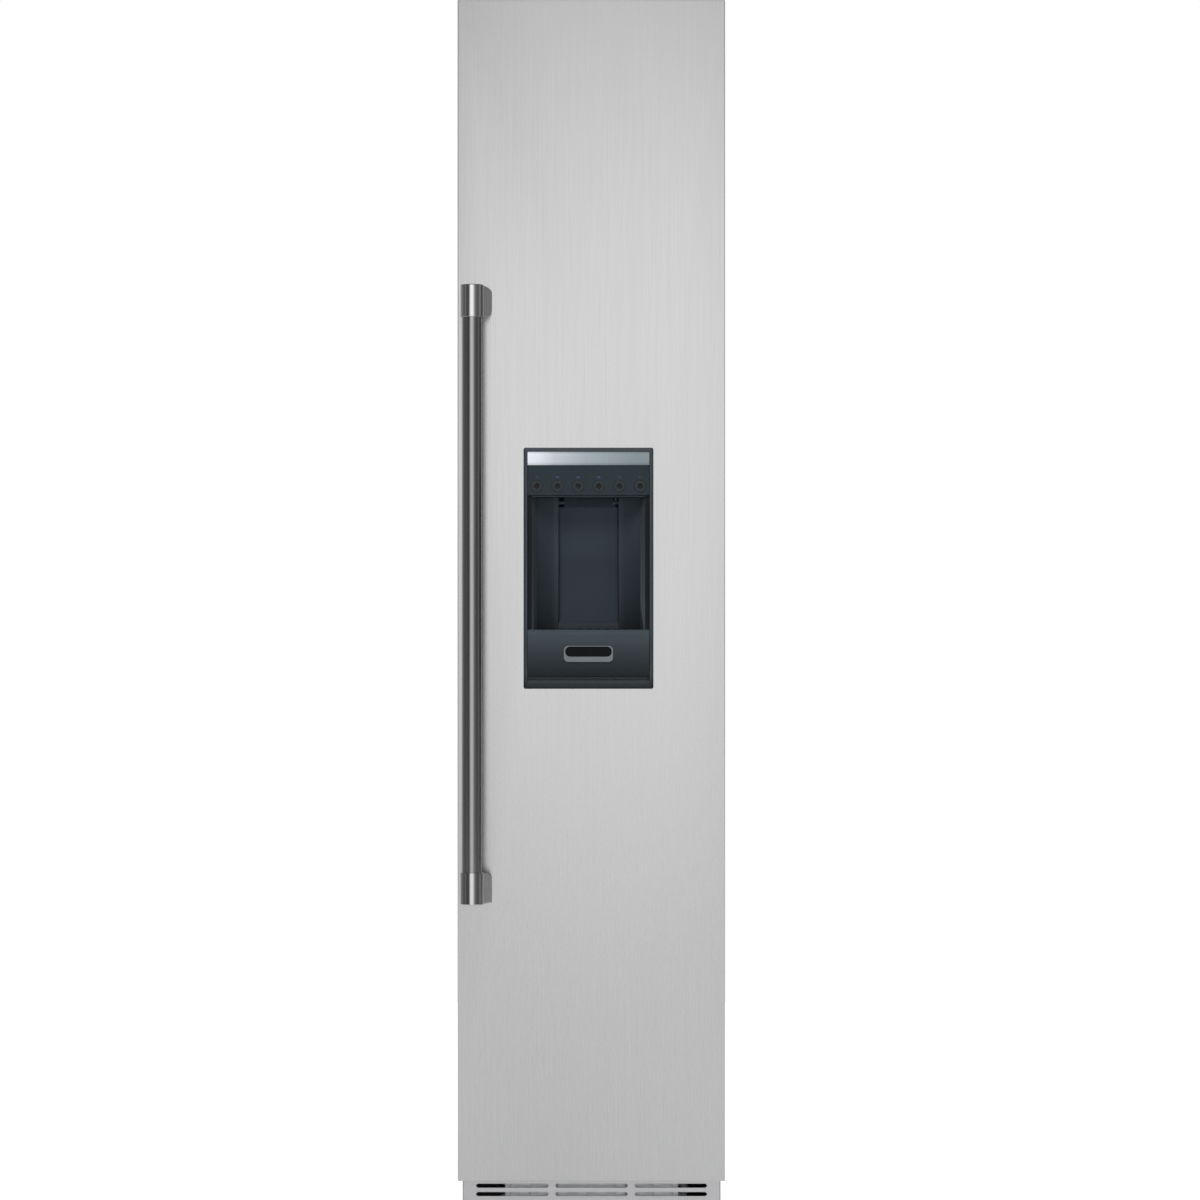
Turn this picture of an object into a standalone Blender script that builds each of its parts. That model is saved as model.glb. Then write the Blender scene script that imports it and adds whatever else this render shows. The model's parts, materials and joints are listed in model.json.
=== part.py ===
"""Built-in column freezer, 18-inch class, with an ice and water dispenser in its single door.

Metres, +Z up. The front faces -Y and the door is hinged on the right. The origin is the middle of
the column's footprint on the floor. Depths are measured back from the door panel's front face.
"""

import math

import bmesh
import bpy
from mathutils import Matrix, Vector

# Clearances and overruns
GAP = 0.0003
OVERRUN = 0.03
WELD = 0.00001
FINE_WELD = 0.000001

# The column as a whole
COLUMN_WIDTH = 0.451
COLUMN_HEIGHT = 2.127
COLUMN_DEPTH = 0.615
PANEL_BOTTOM = 0.136
CABINET_INSET = 0.0025
SHEET = 0.001
WALL = 0.045
LINER = 0.0025

# Handle
HANDLE_INSET = 0.0255
HANDLE_STAND = 0.045
HANDLE_LENGTH = 1.037
HANDLE_RISE = 0.470
TUBE_DIAMETER = 0.034
FERRULE_DIAMETER = 0.040
FERRULE_LENGTH = 0.054

# Door
PAN_DEPTH = 0.019
PAN_SHEET = 0.0012
SLAB_BACK = 0.066
SLAB_INSET = 0.010
SHELL_INSET = 0.002
SEAL_GAP = 0.012
HINGE_INSET = 0.018
HINGE_DEPTH = 0.038
HINGE_PLATE = 0.006
HINGE_PIN = 0.010
BUSH_RADIUS = 0.009
BUSH_LENGTH = 0.022
TOP_RECESS = 0.013
BOTTOM_RECESS = 0.014
DYKE_HEIGHT = 0.034
DYKE_WIDTH = 0.012
DYKE_CLEARANCE = 0.0075
BUMP_HEIGHT = 0.052
BUMP_SIDE = 0.006
BUMP_RISE = 0.0955
BUMP_DROP = 0.048

# Cabinet
FRONT_FLANGE = 0.0385
FLOOR_WALL = 0.050
BEAD_HEIGHT = 0.0025
BACK_SHEET = 0.0012
BACK_WALL = 0.044
TOE_RECESS = 0.077
BASE_FLOOR = 0.034
BASE_SHEET = 0.002
MACHINE_DEPTH = 0.211
MACHINE_TOP = 0.360
COVER_LAP = 0.005
CAVITY_RADIUS = 0.012
LEDGE_REACH = 0.008
LEDGE_HEIGHT = 0.006
DUCT_DEPTH = 0.0525
POWER_RADIUS = 0.016
POWER_INSET = 0.063
WATER_RADIUS = 0.011
INLET_PITCH = 0.050
INLET_Z = 0.110

# Dispenser
DISPENSER_X = -0.0048
FRAME_RISE = 0.830
FRAME_WIDTH = 0.219
FRAME_HEIGHT = 0.4065
FRAME_RIM = 0.0065
FRAME_PROUD = 0.003
STRIP_HEIGHT = 0.023
FASCIA_HEIGHT = 0.0505
FASCIA_SHEET = 0.004
KEY_COUNT = 6
KEY_MARGIN = 0.006375
KEY_DIAMETER = 0.019
KEY_RISE = 0.0155
NICHE_MARGIN = 0.006
NICHE_HEIGHT = 0.2235
CHEEK_DRAW = 0.038
NICHE_DEPTH = 0.088
NICHE_FLANGE = 0.004
MOULDING = 0.0025
CHIN_HEIGHT = 0.0145
SILL_GAP = 0.0025
PADDLE_SIDE = 0.02275
PADDLE_DEPTH = 0.055
PADDLE_PIN = 0.006
PADDLE_DROP = 0.0085
PADDLE_FOOT = 0.010
TRAY_MARGIN = 0.0115
TRAY_HEIGHT = 0.020
TRAY_DEPTH = 0.070
CHUTE_WIDTH = 0.072
CHUTE_FRONT = 0.0225
CHUTE_MOUTH = 0.026
CHUTE_HEADROOM = 0.037
NOZZLE_RADIUS = 0.004
NOZZLE_OFFSET = 0.010
FLAP_INSET = 0.004

# Ice making and storage
AUGER_RISE = 0.011
AUGER_HUB = 0.007
SPOUT_BORE = 0.030
ICE_FRONT = 0.150
ICE_SIDE = 0.0355
ICE_HEIGHT = 0.210
TROUGH_RADIUS = 0.036
MOTOR_DEPTH = 0.020
MAKER_RISE = 0.2815
MAKER_STAND = 0.0817
EJECTOR_REACH = 0.024
FAN_RADIUS = 0.046
FAN_DEPTH = 0.018
FAN_CLEARANCE = 0.006
FAN_DROP = 0.1815

# Drawers, shelves and door bins
DRAWER_FRONT = 0.145
DRAWER_SIDE = 0.0175
DRAWER_CLEARANCE = 0.012
DRAWER_HEIGHT = 0.190
RUNNER = 0.003
SHELF_FRONT = 0.165
SHELF_GLASS = 0.004
SHELF_HEADROOM = 0.020
TOP_SHELF_SHARE = 0.175
SHELF_SHARES = (0, 1 / 2)
BIN_SIDE = 0.006
BIN_DEPTH = 0.084
BIN_HEIGHT = 0.110
BIN_SHARE = 0.29

# Places that follow from the sizes above
HANDLE_REACH = HANDLE_STAND + FERRULE_DIAMETER / 2
FACE_Y = (HANDLE_REACH - COLUMN_DEPTH) / 2
PANEL_HALF = COLUMN_WIDTH / 2
CABINET_HALF = PANEL_HALF - CABINET_INSET
CABINET_FRONT = SLAB_BACK + SEAL_GAP
CABINET_BACK = COLUMN_DEPTH - BEAD_HEIGHT - BACK_SHEET - GAP
CABINET_TOP = COLUMN_HEIGHT - TOP_RECESS
CABINET_BOTTOM = PANEL_BOTTOM + BOTTOM_RECESS
SLAB_HALF = PANEL_HALF - SHELL_INSET
SLAB_TOP = CABINET_TOP - SLAB_INSET
SLAB_BOTTOM = CABINET_BOTTOM + SLAB_INSET
PLATE_FRONT = SLAB_BACK - LINER
HINGE_X = PANEL_HALF - HINGE_INSET
HINGE_Y = FACE_Y + HINGE_DEPTH
CAVITY_HALF = CABINET_HALF - WALL - LINER
CAVITY_FLOOR = CABINET_BOTTOM + FLOOR_WALL + LINER
CAVITY_TOP = CABINET_TOP - WALL - LINER
CAVITY_BACK = CABINET_BACK - BACK_WALL - LINER - GAP
MACHINE_FRONT = CABINET_BACK - MACHINE_DEPTH
STEP_FRONT = MACHINE_FRONT - WALL - LINER
STEP_TOP = MACHINE_TOP + FLOOR_WALL + LINER
COVER_FRONT = CAVITY_BACK - DUCT_DEPTH
TOE_DEPTH = CABINET_FRONT + TOE_RECESS
POWER_X = -CABINET_HALF + POWER_INSET
WATER_X = POWER_X + INLET_PITCH
DYKE_HALF = CAVITY_HALF - DYKE_CLEARANCE
DYKE_TOP = CAVITY_TOP - DYKE_CLEARANCE
BUMP_HALF = DYKE_HALF - DYKE_WIDTH - BUMP_SIDE
BIN_HALF = DYKE_HALF - DYKE_WIDTH - BIN_SIDE
DRAWER_HALF = CAVITY_HALF - LEDGE_REACH - DRAWER_SIDE
ICE_HALF = CAVITY_HALF - ICE_SIDE
HANDLE_X = -PANEL_HALF + HANDLE_INSET
HANDLE_Y = FACE_Y - HANDLE_STAND
HANDLE_BOTTOM = PANEL_BOTTOM + HANDLE_RISE
FRAME_BOTTOM = PANEL_BOTTOM + FRAME_RISE
FRAME_TOP = FRAME_BOTTOM + FRAME_HEIGHT
INNER_HALF = FRAME_WIDTH / 2 - FRAME_RIM
INNER_TOP = FRAME_TOP - FRAME_RIM
INNER_BOTTOM = FRAME_BOTTOM + FRAME_RIM
FASCIA_TOP = INNER_TOP - STRIP_HEIGHT - GAP
FASCIA_BOTTOM = FASCIA_TOP - FASCIA_HEIGHT
KEY_Z = FASCIA_BOTTOM + KEY_RISE
KEY_PITCH = (2 * (INNER_HALF - KEY_MARGIN) - KEY_DIAMETER) / (KEY_COUNT - 1)
KEY_PLACES = [DISPENSER_X + (i - (KEY_COUNT - 1) / 2) * KEY_PITCH for i in range(KEY_COUNT)]
NICHE_WIDTH = 2 * (INNER_HALF - NICHE_MARGIN)
NICHE_BACK_WIDTH = NICHE_WIDTH - 2 * CHEEK_DRAW
NICHE_TOP = FASCIA_BOTTOM - MOULDING
NICHE_BOTTOM = NICHE_TOP - NICHE_HEIGHT
CHIN_TOP = INNER_BOTTOM + CHIN_HEIGHT
TRAY_WIDTH = 2 * (INNER_HALF - TRAY_MARGIN)
TRAY_BACK = NICHE_FLANGE + MOULDING + TRAY_DEPTH
PADDLE_WIDTH = NICHE_WIDTH - 2 * (CHEEK_DRAW * PADDLE_DEPTH / NICHE_DEPTH + PADDLE_SIDE)
PADDLE_Z = NICHE_TOP - PADDLE_DROP
PADDLE_Y = FACE_Y + PADDLE_DEPTH
BUMP_TOP = FRAME_TOP + BUMP_RISE
BUMP_BOTTOM = FRAME_BOTTOM - BUMP_DROP
BUMP_BACK = SLAB_BACK + BUMP_HEIGHT
AUGER_Z = FRAME_TOP + AUGER_RISE
CHUTE_TOP = AUGER_Z + CHUTE_HEADROOM
FLAP_Z = CHUTE_TOP - MOULDING - FLAP_INSET
FLAP_Y = FACE_Y + BUMP_BACK - LINER - MOULDING - FLAP_INSET
NOZZLE_X = DISPENSER_X + CHUTE_WIDTH / 2 + NOZZLE_OFFSET
NOZZLE_Y = FACE_Y + CHUTE_FRONT + CHUTE_MOUTH / 2
ICE_BOTTOM = AUGER_Z - TROUGH_RADIUS - LINER
ICE_TOP = ICE_BOTTOM + ICE_HEIGHT
ICE_BACK = COVER_FRONT - MOTOR_DEPTH
MAKER_Z = AUGER_Z + MAKER_RISE
MAKER_DEPTH = COVER_FRONT - MAKER_STAND
EJECTOR_TOP = MAKER_Z + EJECTOR_REACH
FAN_Z = CAVITY_TOP - FAN_DROP
LOWER_DRAWER_BOTTOM = CAVITY_FLOOR + DRAWER_CLEARANCE
LOWER_DRAWER_TOP = LOWER_DRAWER_BOTTOM + DRAWER_HEIGHT
UPPER_DRAWER_BOTTOM = STEP_TOP + DRAWER_CLEARANCE
UPPER_DRAWER_TOP = UPPER_DRAWER_BOTTOM + DRAWER_HEIGHT
FIRST_SHELF = UPPER_DRAWER_TOP + SHELF_HEADROOM
SHELF_LEVELS = [FIRST_SHELF + share * (ICE_BOTTOM - FIRST_SHELF) for share in SHELF_SHARES]
SHELF_LEVELS.append(EJECTOR_TOP + TOP_SHELF_SHARE * (CAVITY_TOP - EJECTOR_TOP))
BIN_SPACES = ((FIRST_SHELF, BUMP_BOTTOM), (BUMP_TOP, DYKE_TOP - DYKE_WIDTH))
BIN_LEVELS = [low + BIN_SHARE * (high - low - BIN_HEIGHT) for low, high in BIN_SPACES]

# The axis that an outline faces, as the turn from its own plane into the column's frame
FACING = {
    "X": Matrix(((0, 0, 1), (1, 0, 0), (0, 1, 0))),
    "Y": Matrix(((1, 0, 0), (0, 0, -1), (0, 1, 0))),
    "Z": Matrix.Identity(3),
}


def clear_scene():
    for obj in list(bpy.data.objects):
        bpy.data.objects.remove(obj)


def new_collection(name):
    collection = bpy.data.collections.new(name)
    bpy.context.scene.collection.children.link(collection)
    return collection


def material(name, color, roughness, metallic):
    """A Principled material, made once and then shared."""
    if name in bpy.data.materials:
        return bpy.data.materials[name]
    made = bpy.data.materials.new(name)
    made.use_nodes = True
    shader = made.node_tree.nodes["Principled BSDF"]
    shader.inputs["Base Color"].default_value = (*color, 1)
    shader.inputs["Roughness"].default_value = roughness
    shader.inputs["Metallic"].default_value = metallic
    return made


def brushed_steel():
    return material("brushed_steel", (0.62, 0.62, 0.63), 0.35, 1.0)


def polished_steel():
    return material("polished_steel", (0.75, 0.75, 0.76), 0.12, 1.0)


def case_steel():
    return material("case_steel", (0.42, 0.43, 0.44), 0.5, 0.6)


def white_plastic():
    return material("white_plastic", (0.86, 0.87, 0.88), 0.4, 0.0)


def clear_plastic():
    return material("clear_plastic", (0.78, 0.84, 0.88), 0.15, 0.0)


def dark_plastic():
    return material("dark_plastic", (0.035, 0.044, 0.05), 0.35, 0.0)


def silver_trim():
    return material("silver_trim", (0.5, 0.53, 0.56), 0.25, 1.0)


def foam():
    return material("foam", (0.8, 0.74, 0.55), 0.9, 0.0)


def rubber():
    return material("rubber", (0.5, 0.5, 0.5), 0.8, 0.0)


def black_enamel():
    return material("black_enamel", (0.02, 0.02, 0.02), 0.45, 0.0)


def black_plastic():
    return material("black_plastic", (0.025, 0.025, 0.027), 0.5, 0.0)


def aluminium():
    return material("aluminium", (0.7, 0.71, 0.72), 0.4, 1.0)


def glass():
    return material("glass", (0.75, 0.86, 0.84), 0.05, 0.0)


def add_object(name, mesh, location, turn=None):
    """Puts a mesh in the scene under its name, at its place, among the column's parts."""
    obj = bpy.data.objects.new(name, mesh)
    obj.matrix_world = Matrix.Translation(location)
    if turn is not None:
        obj.matrix_world = Matrix.Translation(location) @ turn.to_4x4()
    PARTS.objects.link(obj)
    return obj


def mesh_from(name, shape):
    """The mesh of a bmesh, with its faces pointing out."""
    bmesh.ops.recalc_face_normals(shape, faces=shape.faces)
    mesh = bpy.data.meshes.new(name)
    shape.to_mesh(mesh)
    shape.free()
    return mesh


def block(name, low, high):
    """A box between two corners."""
    low = Vector(low)
    high = Vector(high)
    shape = bmesh.new()
    bmesh.ops.create_cube(shape, size=1)
    bmesh.ops.scale(shape, vec=high - low, verts=shape.verts)
    return add_object(name, mesh_from(name, shape), (low + high) / 2)


def tapered(name, front, back):
    """A box along Y whose ends are unlike rectangles, each (y, low x, high x, low z, high z)."""
    shape = bmesh.new()
    bmesh.ops.create_cube(shape, size=1)
    for vert in shape.verts:
        y, low_x, high_x, low_z, high_z = back if vert.co.y > 0 else front
        x = high_x if vert.co.x > 0 else low_x
        z = high_z if vert.co.z > 0 else low_z
        vert.co = Vector((x, y, z))
    return add_object(name, mesh_from(name, shape), (0, 0, 0))


def drafted(name, low, high, draft):
    """A box between two corners whose foot is drawn in by the draft on all four sides."""
    shape = bmesh.new()
    bmesh.ops.create_cube(shape, size=1)
    middle = (Vector(low) + Vector(high)) / 2
    half = (Vector(high) - Vector(low)) / 2
    for vert in shape.verts:
        inset = draft if vert.co.z < 0 else 0
        vert.co.x = math.copysign(half.x - inset, vert.co.x)
        vert.co.y = math.copysign(half.y - inset, vert.co.y)
        vert.co.z = math.copysign(half.z, vert.co.z)
    return add_object(name, mesh_from(name, shape), middle)


def blocks(name, boxes):
    """Several boxes as one tool."""
    shape = bmesh.new()
    for low, high in boxes:
        low = Vector(low)
        high = Vector(high)
        made = bmesh.ops.create_cube(shape, size=1)
        bmesh.ops.scale(shape, vec=high - low, verts=made["verts"])
        bmesh.ops.translate(shape, vec=(low + high) / 2, verts=made["verts"])
    return add_object(name, mesh_from(name, shape), (0, 0, 0))


def prism(name, outlines, axis, low, high):
    """Flat outlines, the first solid and the rest holes, carried along an axis from low to high."""
    firsts = [a for a, b in outlines[0]]
    seconds = [b for a, b in outlines[0]]
    middle_a = (min(firsts) + max(firsts)) / 2
    middle_b = (min(seconds) + max(seconds)) / 2
    curve = bpy.data.curves.new(name, "CURVE")
    curve.dimensions = "2D"
    curve.fill_mode = "BOTH"
    curve.extrude = (high - low) / 2
    for outline in outlines:
        spline = curve.splines.new("POLY")
        spline.points.add(len(outline) - 1)
        for point, (a, b) in zip(spline.points, outline):
            point.co = (a - middle_a, b - middle_b, 0, 1)
        spline.use_cyclic_u = True
    turn = FACING[axis]
    place = turn @ Vector((middle_a, middle_b, 0))
    place["XYZ".index(axis)] = (low + high) / 2
    return solid_of_curve(name, curve, place, turn)


def solid_of_curve(name, curve, place, turn=None):
    """A curve made into a closed mesh object at the same place."""
    guide = add_object(name + "_curve", curve, place, turn)
    bpy.context.view_layer.update()
    evaluated = guide.evaluated_get(bpy.context.evaluated_depsgraph_get())
    mesh = bpy.data.meshes.new_from_object(evaluated)
    shape = bmesh.new()
    shape.from_mesh(mesh)
    bmesh.ops.remove_doubles(shape, verts=shape.verts, dist=WELD)
    bmesh.ops.recalc_face_normals(shape, faces=shape.faces)
    shape.to_mesh(mesh)
    shape.free()
    mesh.name = name
    obj = bpy.data.objects.new(name, mesh)
    obj.matrix_world = guide.matrix_world.copy()
    PARTS.objects.link(obj)
    bpy.data.objects.remove(guide)
    return obj


def rod(name, points, radius, sides=12):
    """A round bar along a line of points."""
    curve = bpy.data.curves.new(name, "CURVE")
    curve.dimensions = "3D"
    curve.bevel_depth = radius
    curve.bevel_resolution = (sides - 4) // 2
    curve.use_fill_caps = True
    spline = curve.splines.new("POLY")
    spline.points.add(len(points) - 1)
    for point, place in zip(spline.points, points):
        point.co = (*place, 1)
    return smooth(solid_of_curve(name, curve, (0, 0, 0)))


def turned(name, profile, axis, place, steps=24, ring=False):
    """A turned piece: (radius, height) points down its outer side, about an axis through a place."""
    mesh = bpy.data.meshes.new(name)
    edges = [(i, i + 1) for i in range(len(profile) - 1)]
    if ring:
        edges.append((len(profile) - 1, 0))
    mesh.from_pydata([(radius, 0, height) for radius, height in profile], edges, [])
    obj = add_object(name, mesh, place, FACING[axis])
    screw = obj.modifiers.new("turn", "SCREW")
    screw.axis = "Z"
    screw.steps = steps
    screw.render_steps = steps
    screw.use_merge_vertices = True
    screw.merge_threshold = WELD
    screw.use_smooth_shade = False
    return obj


def smooth(obj):
    obj.data.shade_smooth()
    obj.data.set_sharp_from_angle(angle=math.radians(35))
    return obj


def soften(obj, width, segments=2):
    """Rounds the sharp edges of an object by this width."""
    bevel = obj.modifiers.new("soften", "BEVEL")
    bevel.width = width
    bevel.segments = segments
    bevel.limit_method = "ANGLE"
    bevel.angle_limit = math.radians(40)
    bevel.use_clamp_overlap = True
    return obj


def combine(target, tool, operation):
    """Joins, cuts or meets the target with a tool, which is then kept among the cutters."""
    modifier = target.modifiers.new(tool.name, "BOOLEAN")
    modifier.operation = operation
    modifier.object = tool
    modifier.solver = "EXACT"
    tool.hide_render = True
    tool.display_type = "WIRE"
    for collection in list(tool.users_collection):
        collection.objects.unlink(tool)
    CUTTERS.objects.link(tool)
    return target


def cut(target, tool):
    return combine(target, tool, "DIFFERENCE")


def join(target, tool):
    return combine(target, tool, "UNION")


def finish(obj, made_of, mover=None):
    """Welds a piece, gives it its material and, if it moves, the empty that carries it."""
    obj.data.materials.clear()
    obj.data.materials.append(made_of)
    weld = obj.modifiers.new("weld", "WELD")
    weld.merge_threshold = FINE_WELD
    if mover is not None:
        carry(obj, mover)
        for modifier in obj.modifiers:
            if modifier.type == "BOOLEAN":
                carry(modifier.object, mover)
    return obj


def carry(obj, mover):
    obj.parent = mover
    obj.matrix_parent_inverse = Matrix.Translation(mover.location).inverted()


def pivot(name, place, parent=None):
    """An empty on a joint's axis, which carries the pieces that move together."""
    empty = bpy.data.objects.new(name, None)
    empty.location = place
    PARTS.objects.link(empty)
    if parent is not None:
        empty.parent = parent
        empty.matrix_parent_inverse = Matrix.Translation(parent.location).inverted()
    return empty


def arc(centre, radius, start, end, steps):
    """Points on an arc, in degrees."""
    points = []
    for i in range(steps + 1):
        angle = math.radians(start + (end - start) * i / steps)
        points.append((centre[0] + radius * math.cos(angle), centre[1] + radius * math.sin(angle)))
    return points


def rounded_rectangle(low, high, radius, steps=2):
    """A rectangle between two corners of the plane, with round corners."""
    left = low[0] + radius
    right = high[0] - radius
    bottom = low[1] + radius
    top = high[1] - radius
    return (
        arc((right, top), radius, 0, 90, steps)
        + arc((left, top), radius, 90, 180, steps)
        + arc((left, bottom), radius, 180, 270, steps)
        + arc((right, bottom), radius, 270, 360, steps)
    )


def rectangle(low, high):
    return [low, (high[0], low[1]), high, (low[0], high[1])]


def offset(points, distance):
    """A closed outline moved out by a distance; the points run anticlockwise."""
    moved = []
    count = len(points)
    for i in range(count):
        before = Vector(points[i]) - Vector(points[i - 1])
        after = Vector(points[(i + 1) % count]) - Vector(points[i])
        first = Vector((before.y, -before.x)).normalized()
        second = Vector((after.y, -after.x)).normalized()
        mitre = (first + second) / (1 + first.dot(second))
        moved.append((points[i][0] + mitre.x * distance, points[i][1] + mitre.y * distance))
    return moved


def y_of(depth):
    """Where a depth behind the door's face lies."""
    return FACE_Y + depth


def cavity(name, grow, half):
    """The freezer compartment as a solid, grown by a distance, running out past the front."""
    front = y_of(CABINET_FRONT) - OVERRUN
    outline = [
        (front, CAVITY_FLOOR - grow),
        (y_of(STEP_FRONT) + grow, CAVITY_FLOOR - grow),
        (y_of(STEP_FRONT) + grow, STEP_TOP - grow),
        (y_of(CAVITY_BACK) + grow, STEP_TOP - grow),
        (y_of(CAVITY_BACK) + grow, CAVITY_TOP + grow),
        (front, CAVITY_TOP + grow),
    ]
    made = prism(name, [outline], "X", -half - grow, half + grow)
    return soften(made, CAVITY_RADIUS + grow)


def make_outer_wrapper():
    """One folded sheet: both sides, the top, the floor before the machines and a front flange."""
    front = y_of(CABINET_FRONT)
    back = y_of(CABINET_BACK)
    wrapper = block("outer_wrapper", (-CABINET_HALF, front, BASE_FLOOR), (CABINET_HALF, back, CABINET_TOP))
    floor = CABINET_BOTTOM + SHEET
    machines = y_of(MACHINE_FRONT)
    section = [
        (front + SHEET, floor),
        (machines, floor),
        (machines, -OVERRUN),
        (back + OVERRUN, -OVERRUN),
        (back + OVERRUN, CABINET_TOP - SHEET),
        (front + SHEET, CABINET_TOP - SHEET),
    ]
    half = CABINET_HALF - SHEET
    cut(wrapper, prism("wrapper_inside", [section], "X", -half, half))
    duct_low = (-half, y_of(TOE_DEPTH) - SHEET, -OVERRUN)
    cut(wrapper, block("wrapper_duct", duct_low, (half, machines + SHEET, CABINET_BOTTOM)))
    toe_low = (-CABINET_HALF - OVERRUN, front - OVERRUN, -OVERRUN)
    toe_high = (CABINET_HALF + OVERRUN, y_of(TOE_DEPTH), CABINET_BOTTOM)
    cut(wrapper, block("wrapper_toe", toe_low, toe_high))
    mouth_half = CABINET_HALF - FRONT_FLANGE
    mouth_low = (-mouth_half, front - OVERRUN, CABINET_BOTTOM + FRONT_FLANGE)
    mouth_high = (mouth_half, front + OVERRUN, CABINET_TOP - FRONT_FLANGE)
    cut(wrapper, block("wrapper_mouth", mouth_low, mouth_high))
    finish(wrapper, case_steel())


def make_insulation():
    """Foam between the wrapper and the liner, stepped over the machine compartment."""
    front = y_of(CABINET_FRONT) + SHEET + GAP
    low = CABINET_BOTTOM + SHEET + GAP
    top = CABINET_TOP - SHEET - GAP
    outline = [
        (front, low),
        (y_of(MACHINE_FRONT), low),
        (y_of(MACHINE_FRONT), MACHINE_TOP),
        (y_of(CABINET_BACK), MACHINE_TOP),
        (y_of(CABINET_BACK), top),
        (front, top),
    ]
    half = CABINET_HALF - SHEET - GAP
    body = prism("cabinet_insulation", [outline], "X", -half, half)
    cut(body, cavity("insulation_cavity", LINER + GAP, CAVITY_HALF))
    finish(body, foam())


def ledge_boxes(top, front, back):
    """A pair of moulded ledges, one on each side wall, rooted in the liner."""
    boxes = []
    for side in (-1, 1):
        outer = side * (CAVITY_HALF + LINER / 2)
        inner = side * (CAVITY_HALF - LEDGE_REACH)
        low = (min(outer, inner), y_of(front), top - LEDGE_HEIGHT)
        high = (max(outer, inner), y_of(back), top)
        boxes.append((low, high))
    return boxes


def make_liner():
    """The moulded compartment, with a lip round its mouth and the ledges on its walls."""
    ledge_front = 0.125
    lip_sheet = 0.0012
    liner = cavity("inner_liner", LINER, CAVITY_HALF)
    side = CABINET_HALF + OVERRUN
    trim_low = (-side, y_of(CABINET_FRONT) - 2 * OVERRUN, -OVERRUN)
    trim_high = (side, y_of(CABINET_FRONT), COLUMN_HEIGHT + OVERRUN)
    cut(liner, block("liner_trim", trim_low, trim_high))
    lip_half = CABINET_HALF - FRONT_FLANGE - GAP
    lip_low = (-lip_half, CABINET_BOTTOM + FRONT_FLANGE + GAP)
    lip_high = (lip_half, CABINET_TOP - FRONT_FLANGE - GAP)
    mouth_low = (-CAVITY_HALF, CAVITY_FLOOR)
    mouth_high = (CAVITY_HALF, CAVITY_TOP)
    lip = [
        rounded_rectangle(lip_low, lip_high, SHEET),
        rounded_rectangle(mouth_low, mouth_high, CAVITY_RADIUS),
    ]
    front = y_of(CABINET_FRONT)
    join(liner, prism("liner_lip", lip, "Y", front, front + lip_sheet))
    cut(liner, cavity("liner_inside", 0, CAVITY_HALF))
    boxes = []
    for top in SHELF_LEVELS:
        boxes += ledge_boxes(top - GAP, SHELF_FRONT, COVER_FRONT - GAP)
    lower_back = STEP_FRONT - CAVITY_RADIUS - LINER
    for top, back in ((LOWER_DRAWER_TOP, lower_back), (UPPER_DRAWER_TOP, COVER_FRONT)):
        boxes += ledge_boxes(top - RUNNER - GAP, ledge_front, back - GAP)
    boxes += ledge_boxes(ICE_TOP - RUNNER - GAP, ICE_FRONT, COVER_FRONT - GAP)
    join(liner, blocks("liner_ledges", boxes))
    finish(liner, white_plastic())


def make_back_panel():
    """The flat back sheet with two pressed stiffening beads."""
    bead_half = 0.010
    bead_place = 0.090
    bead_margin = 0.120
    end_share = 0.98
    half = CABINET_HALF - SHEET / 2
    low = (-half, MACHINE_TOP + COVER_LAP)
    high = (half, CABINET_TOP - SHEET / 2)
    front = y_of(CABINET_BACK) + GAP
    sheet = rounded_rectangle(low, high, CAVITY_RADIUS / 2)
    panel = prism("back_panel", [sheet], "Y", front, front + BACK_SHEET)
    for side in (-1, 1):
        middle = side * bead_place
        bead_low = (middle - bead_half, low[1] + bead_margin)
        bead_high = (middle + bead_half, high[1] - bead_margin)
        bead = rounded_rectangle(bead_low, bead_high, bead_half * end_share)
        tool = prism("back_bead", [bead], "Y", front + SHEET / 2, front + BACK_SHEET + BEAD_HEIGHT)
        join(panel, tool)
    finish(panel, aluminium())


def make_machine_cover():
    """The louvred cover over the machine compartment, with room for the two inlets."""
    slot_count = 5
    slot_height = 0.006
    end_share = 0.4
    slot_pitch = 0.018
    slot_inner = 0.025
    slot_side = 0.0475
    slot_start = 0.190
    half = CABINET_HALF - SHEET / 2
    slot_half = (half - slot_side - slot_inner) / 2
    slot_place = (half - slot_side + slot_inner) / 2
    low = (-half, BASE_FLOOR + GAP)
    high = (half, MACHINE_TOP + COVER_LAP - 3 * GAP)
    front = y_of(CABINET_BACK) + GAP
    outlines = [rounded_rectangle(low, high, CAVITY_RADIUS / 2)]
    for side in (-1, 1):
        for i in range(slot_count):
            z = slot_start + i * slot_pitch
            corner = (side * slot_place - slot_half, z)
            far = (side * slot_place + slot_half, z + slot_height)
            outlines.append(rounded_rectangle(corner, far, slot_height * end_share, 1))
    for x, radius in ((POWER_X, POWER_RADIUS), (WATER_X, WATER_RADIUS)):
        outlines.append(arc((x, INLET_Z), radius + GAP, 0, 337.5, 15))
    cover = prism("machine_cover", outlines, "Y", front, front + BACK_SHEET)
    finish(cover, aluminium())


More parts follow.
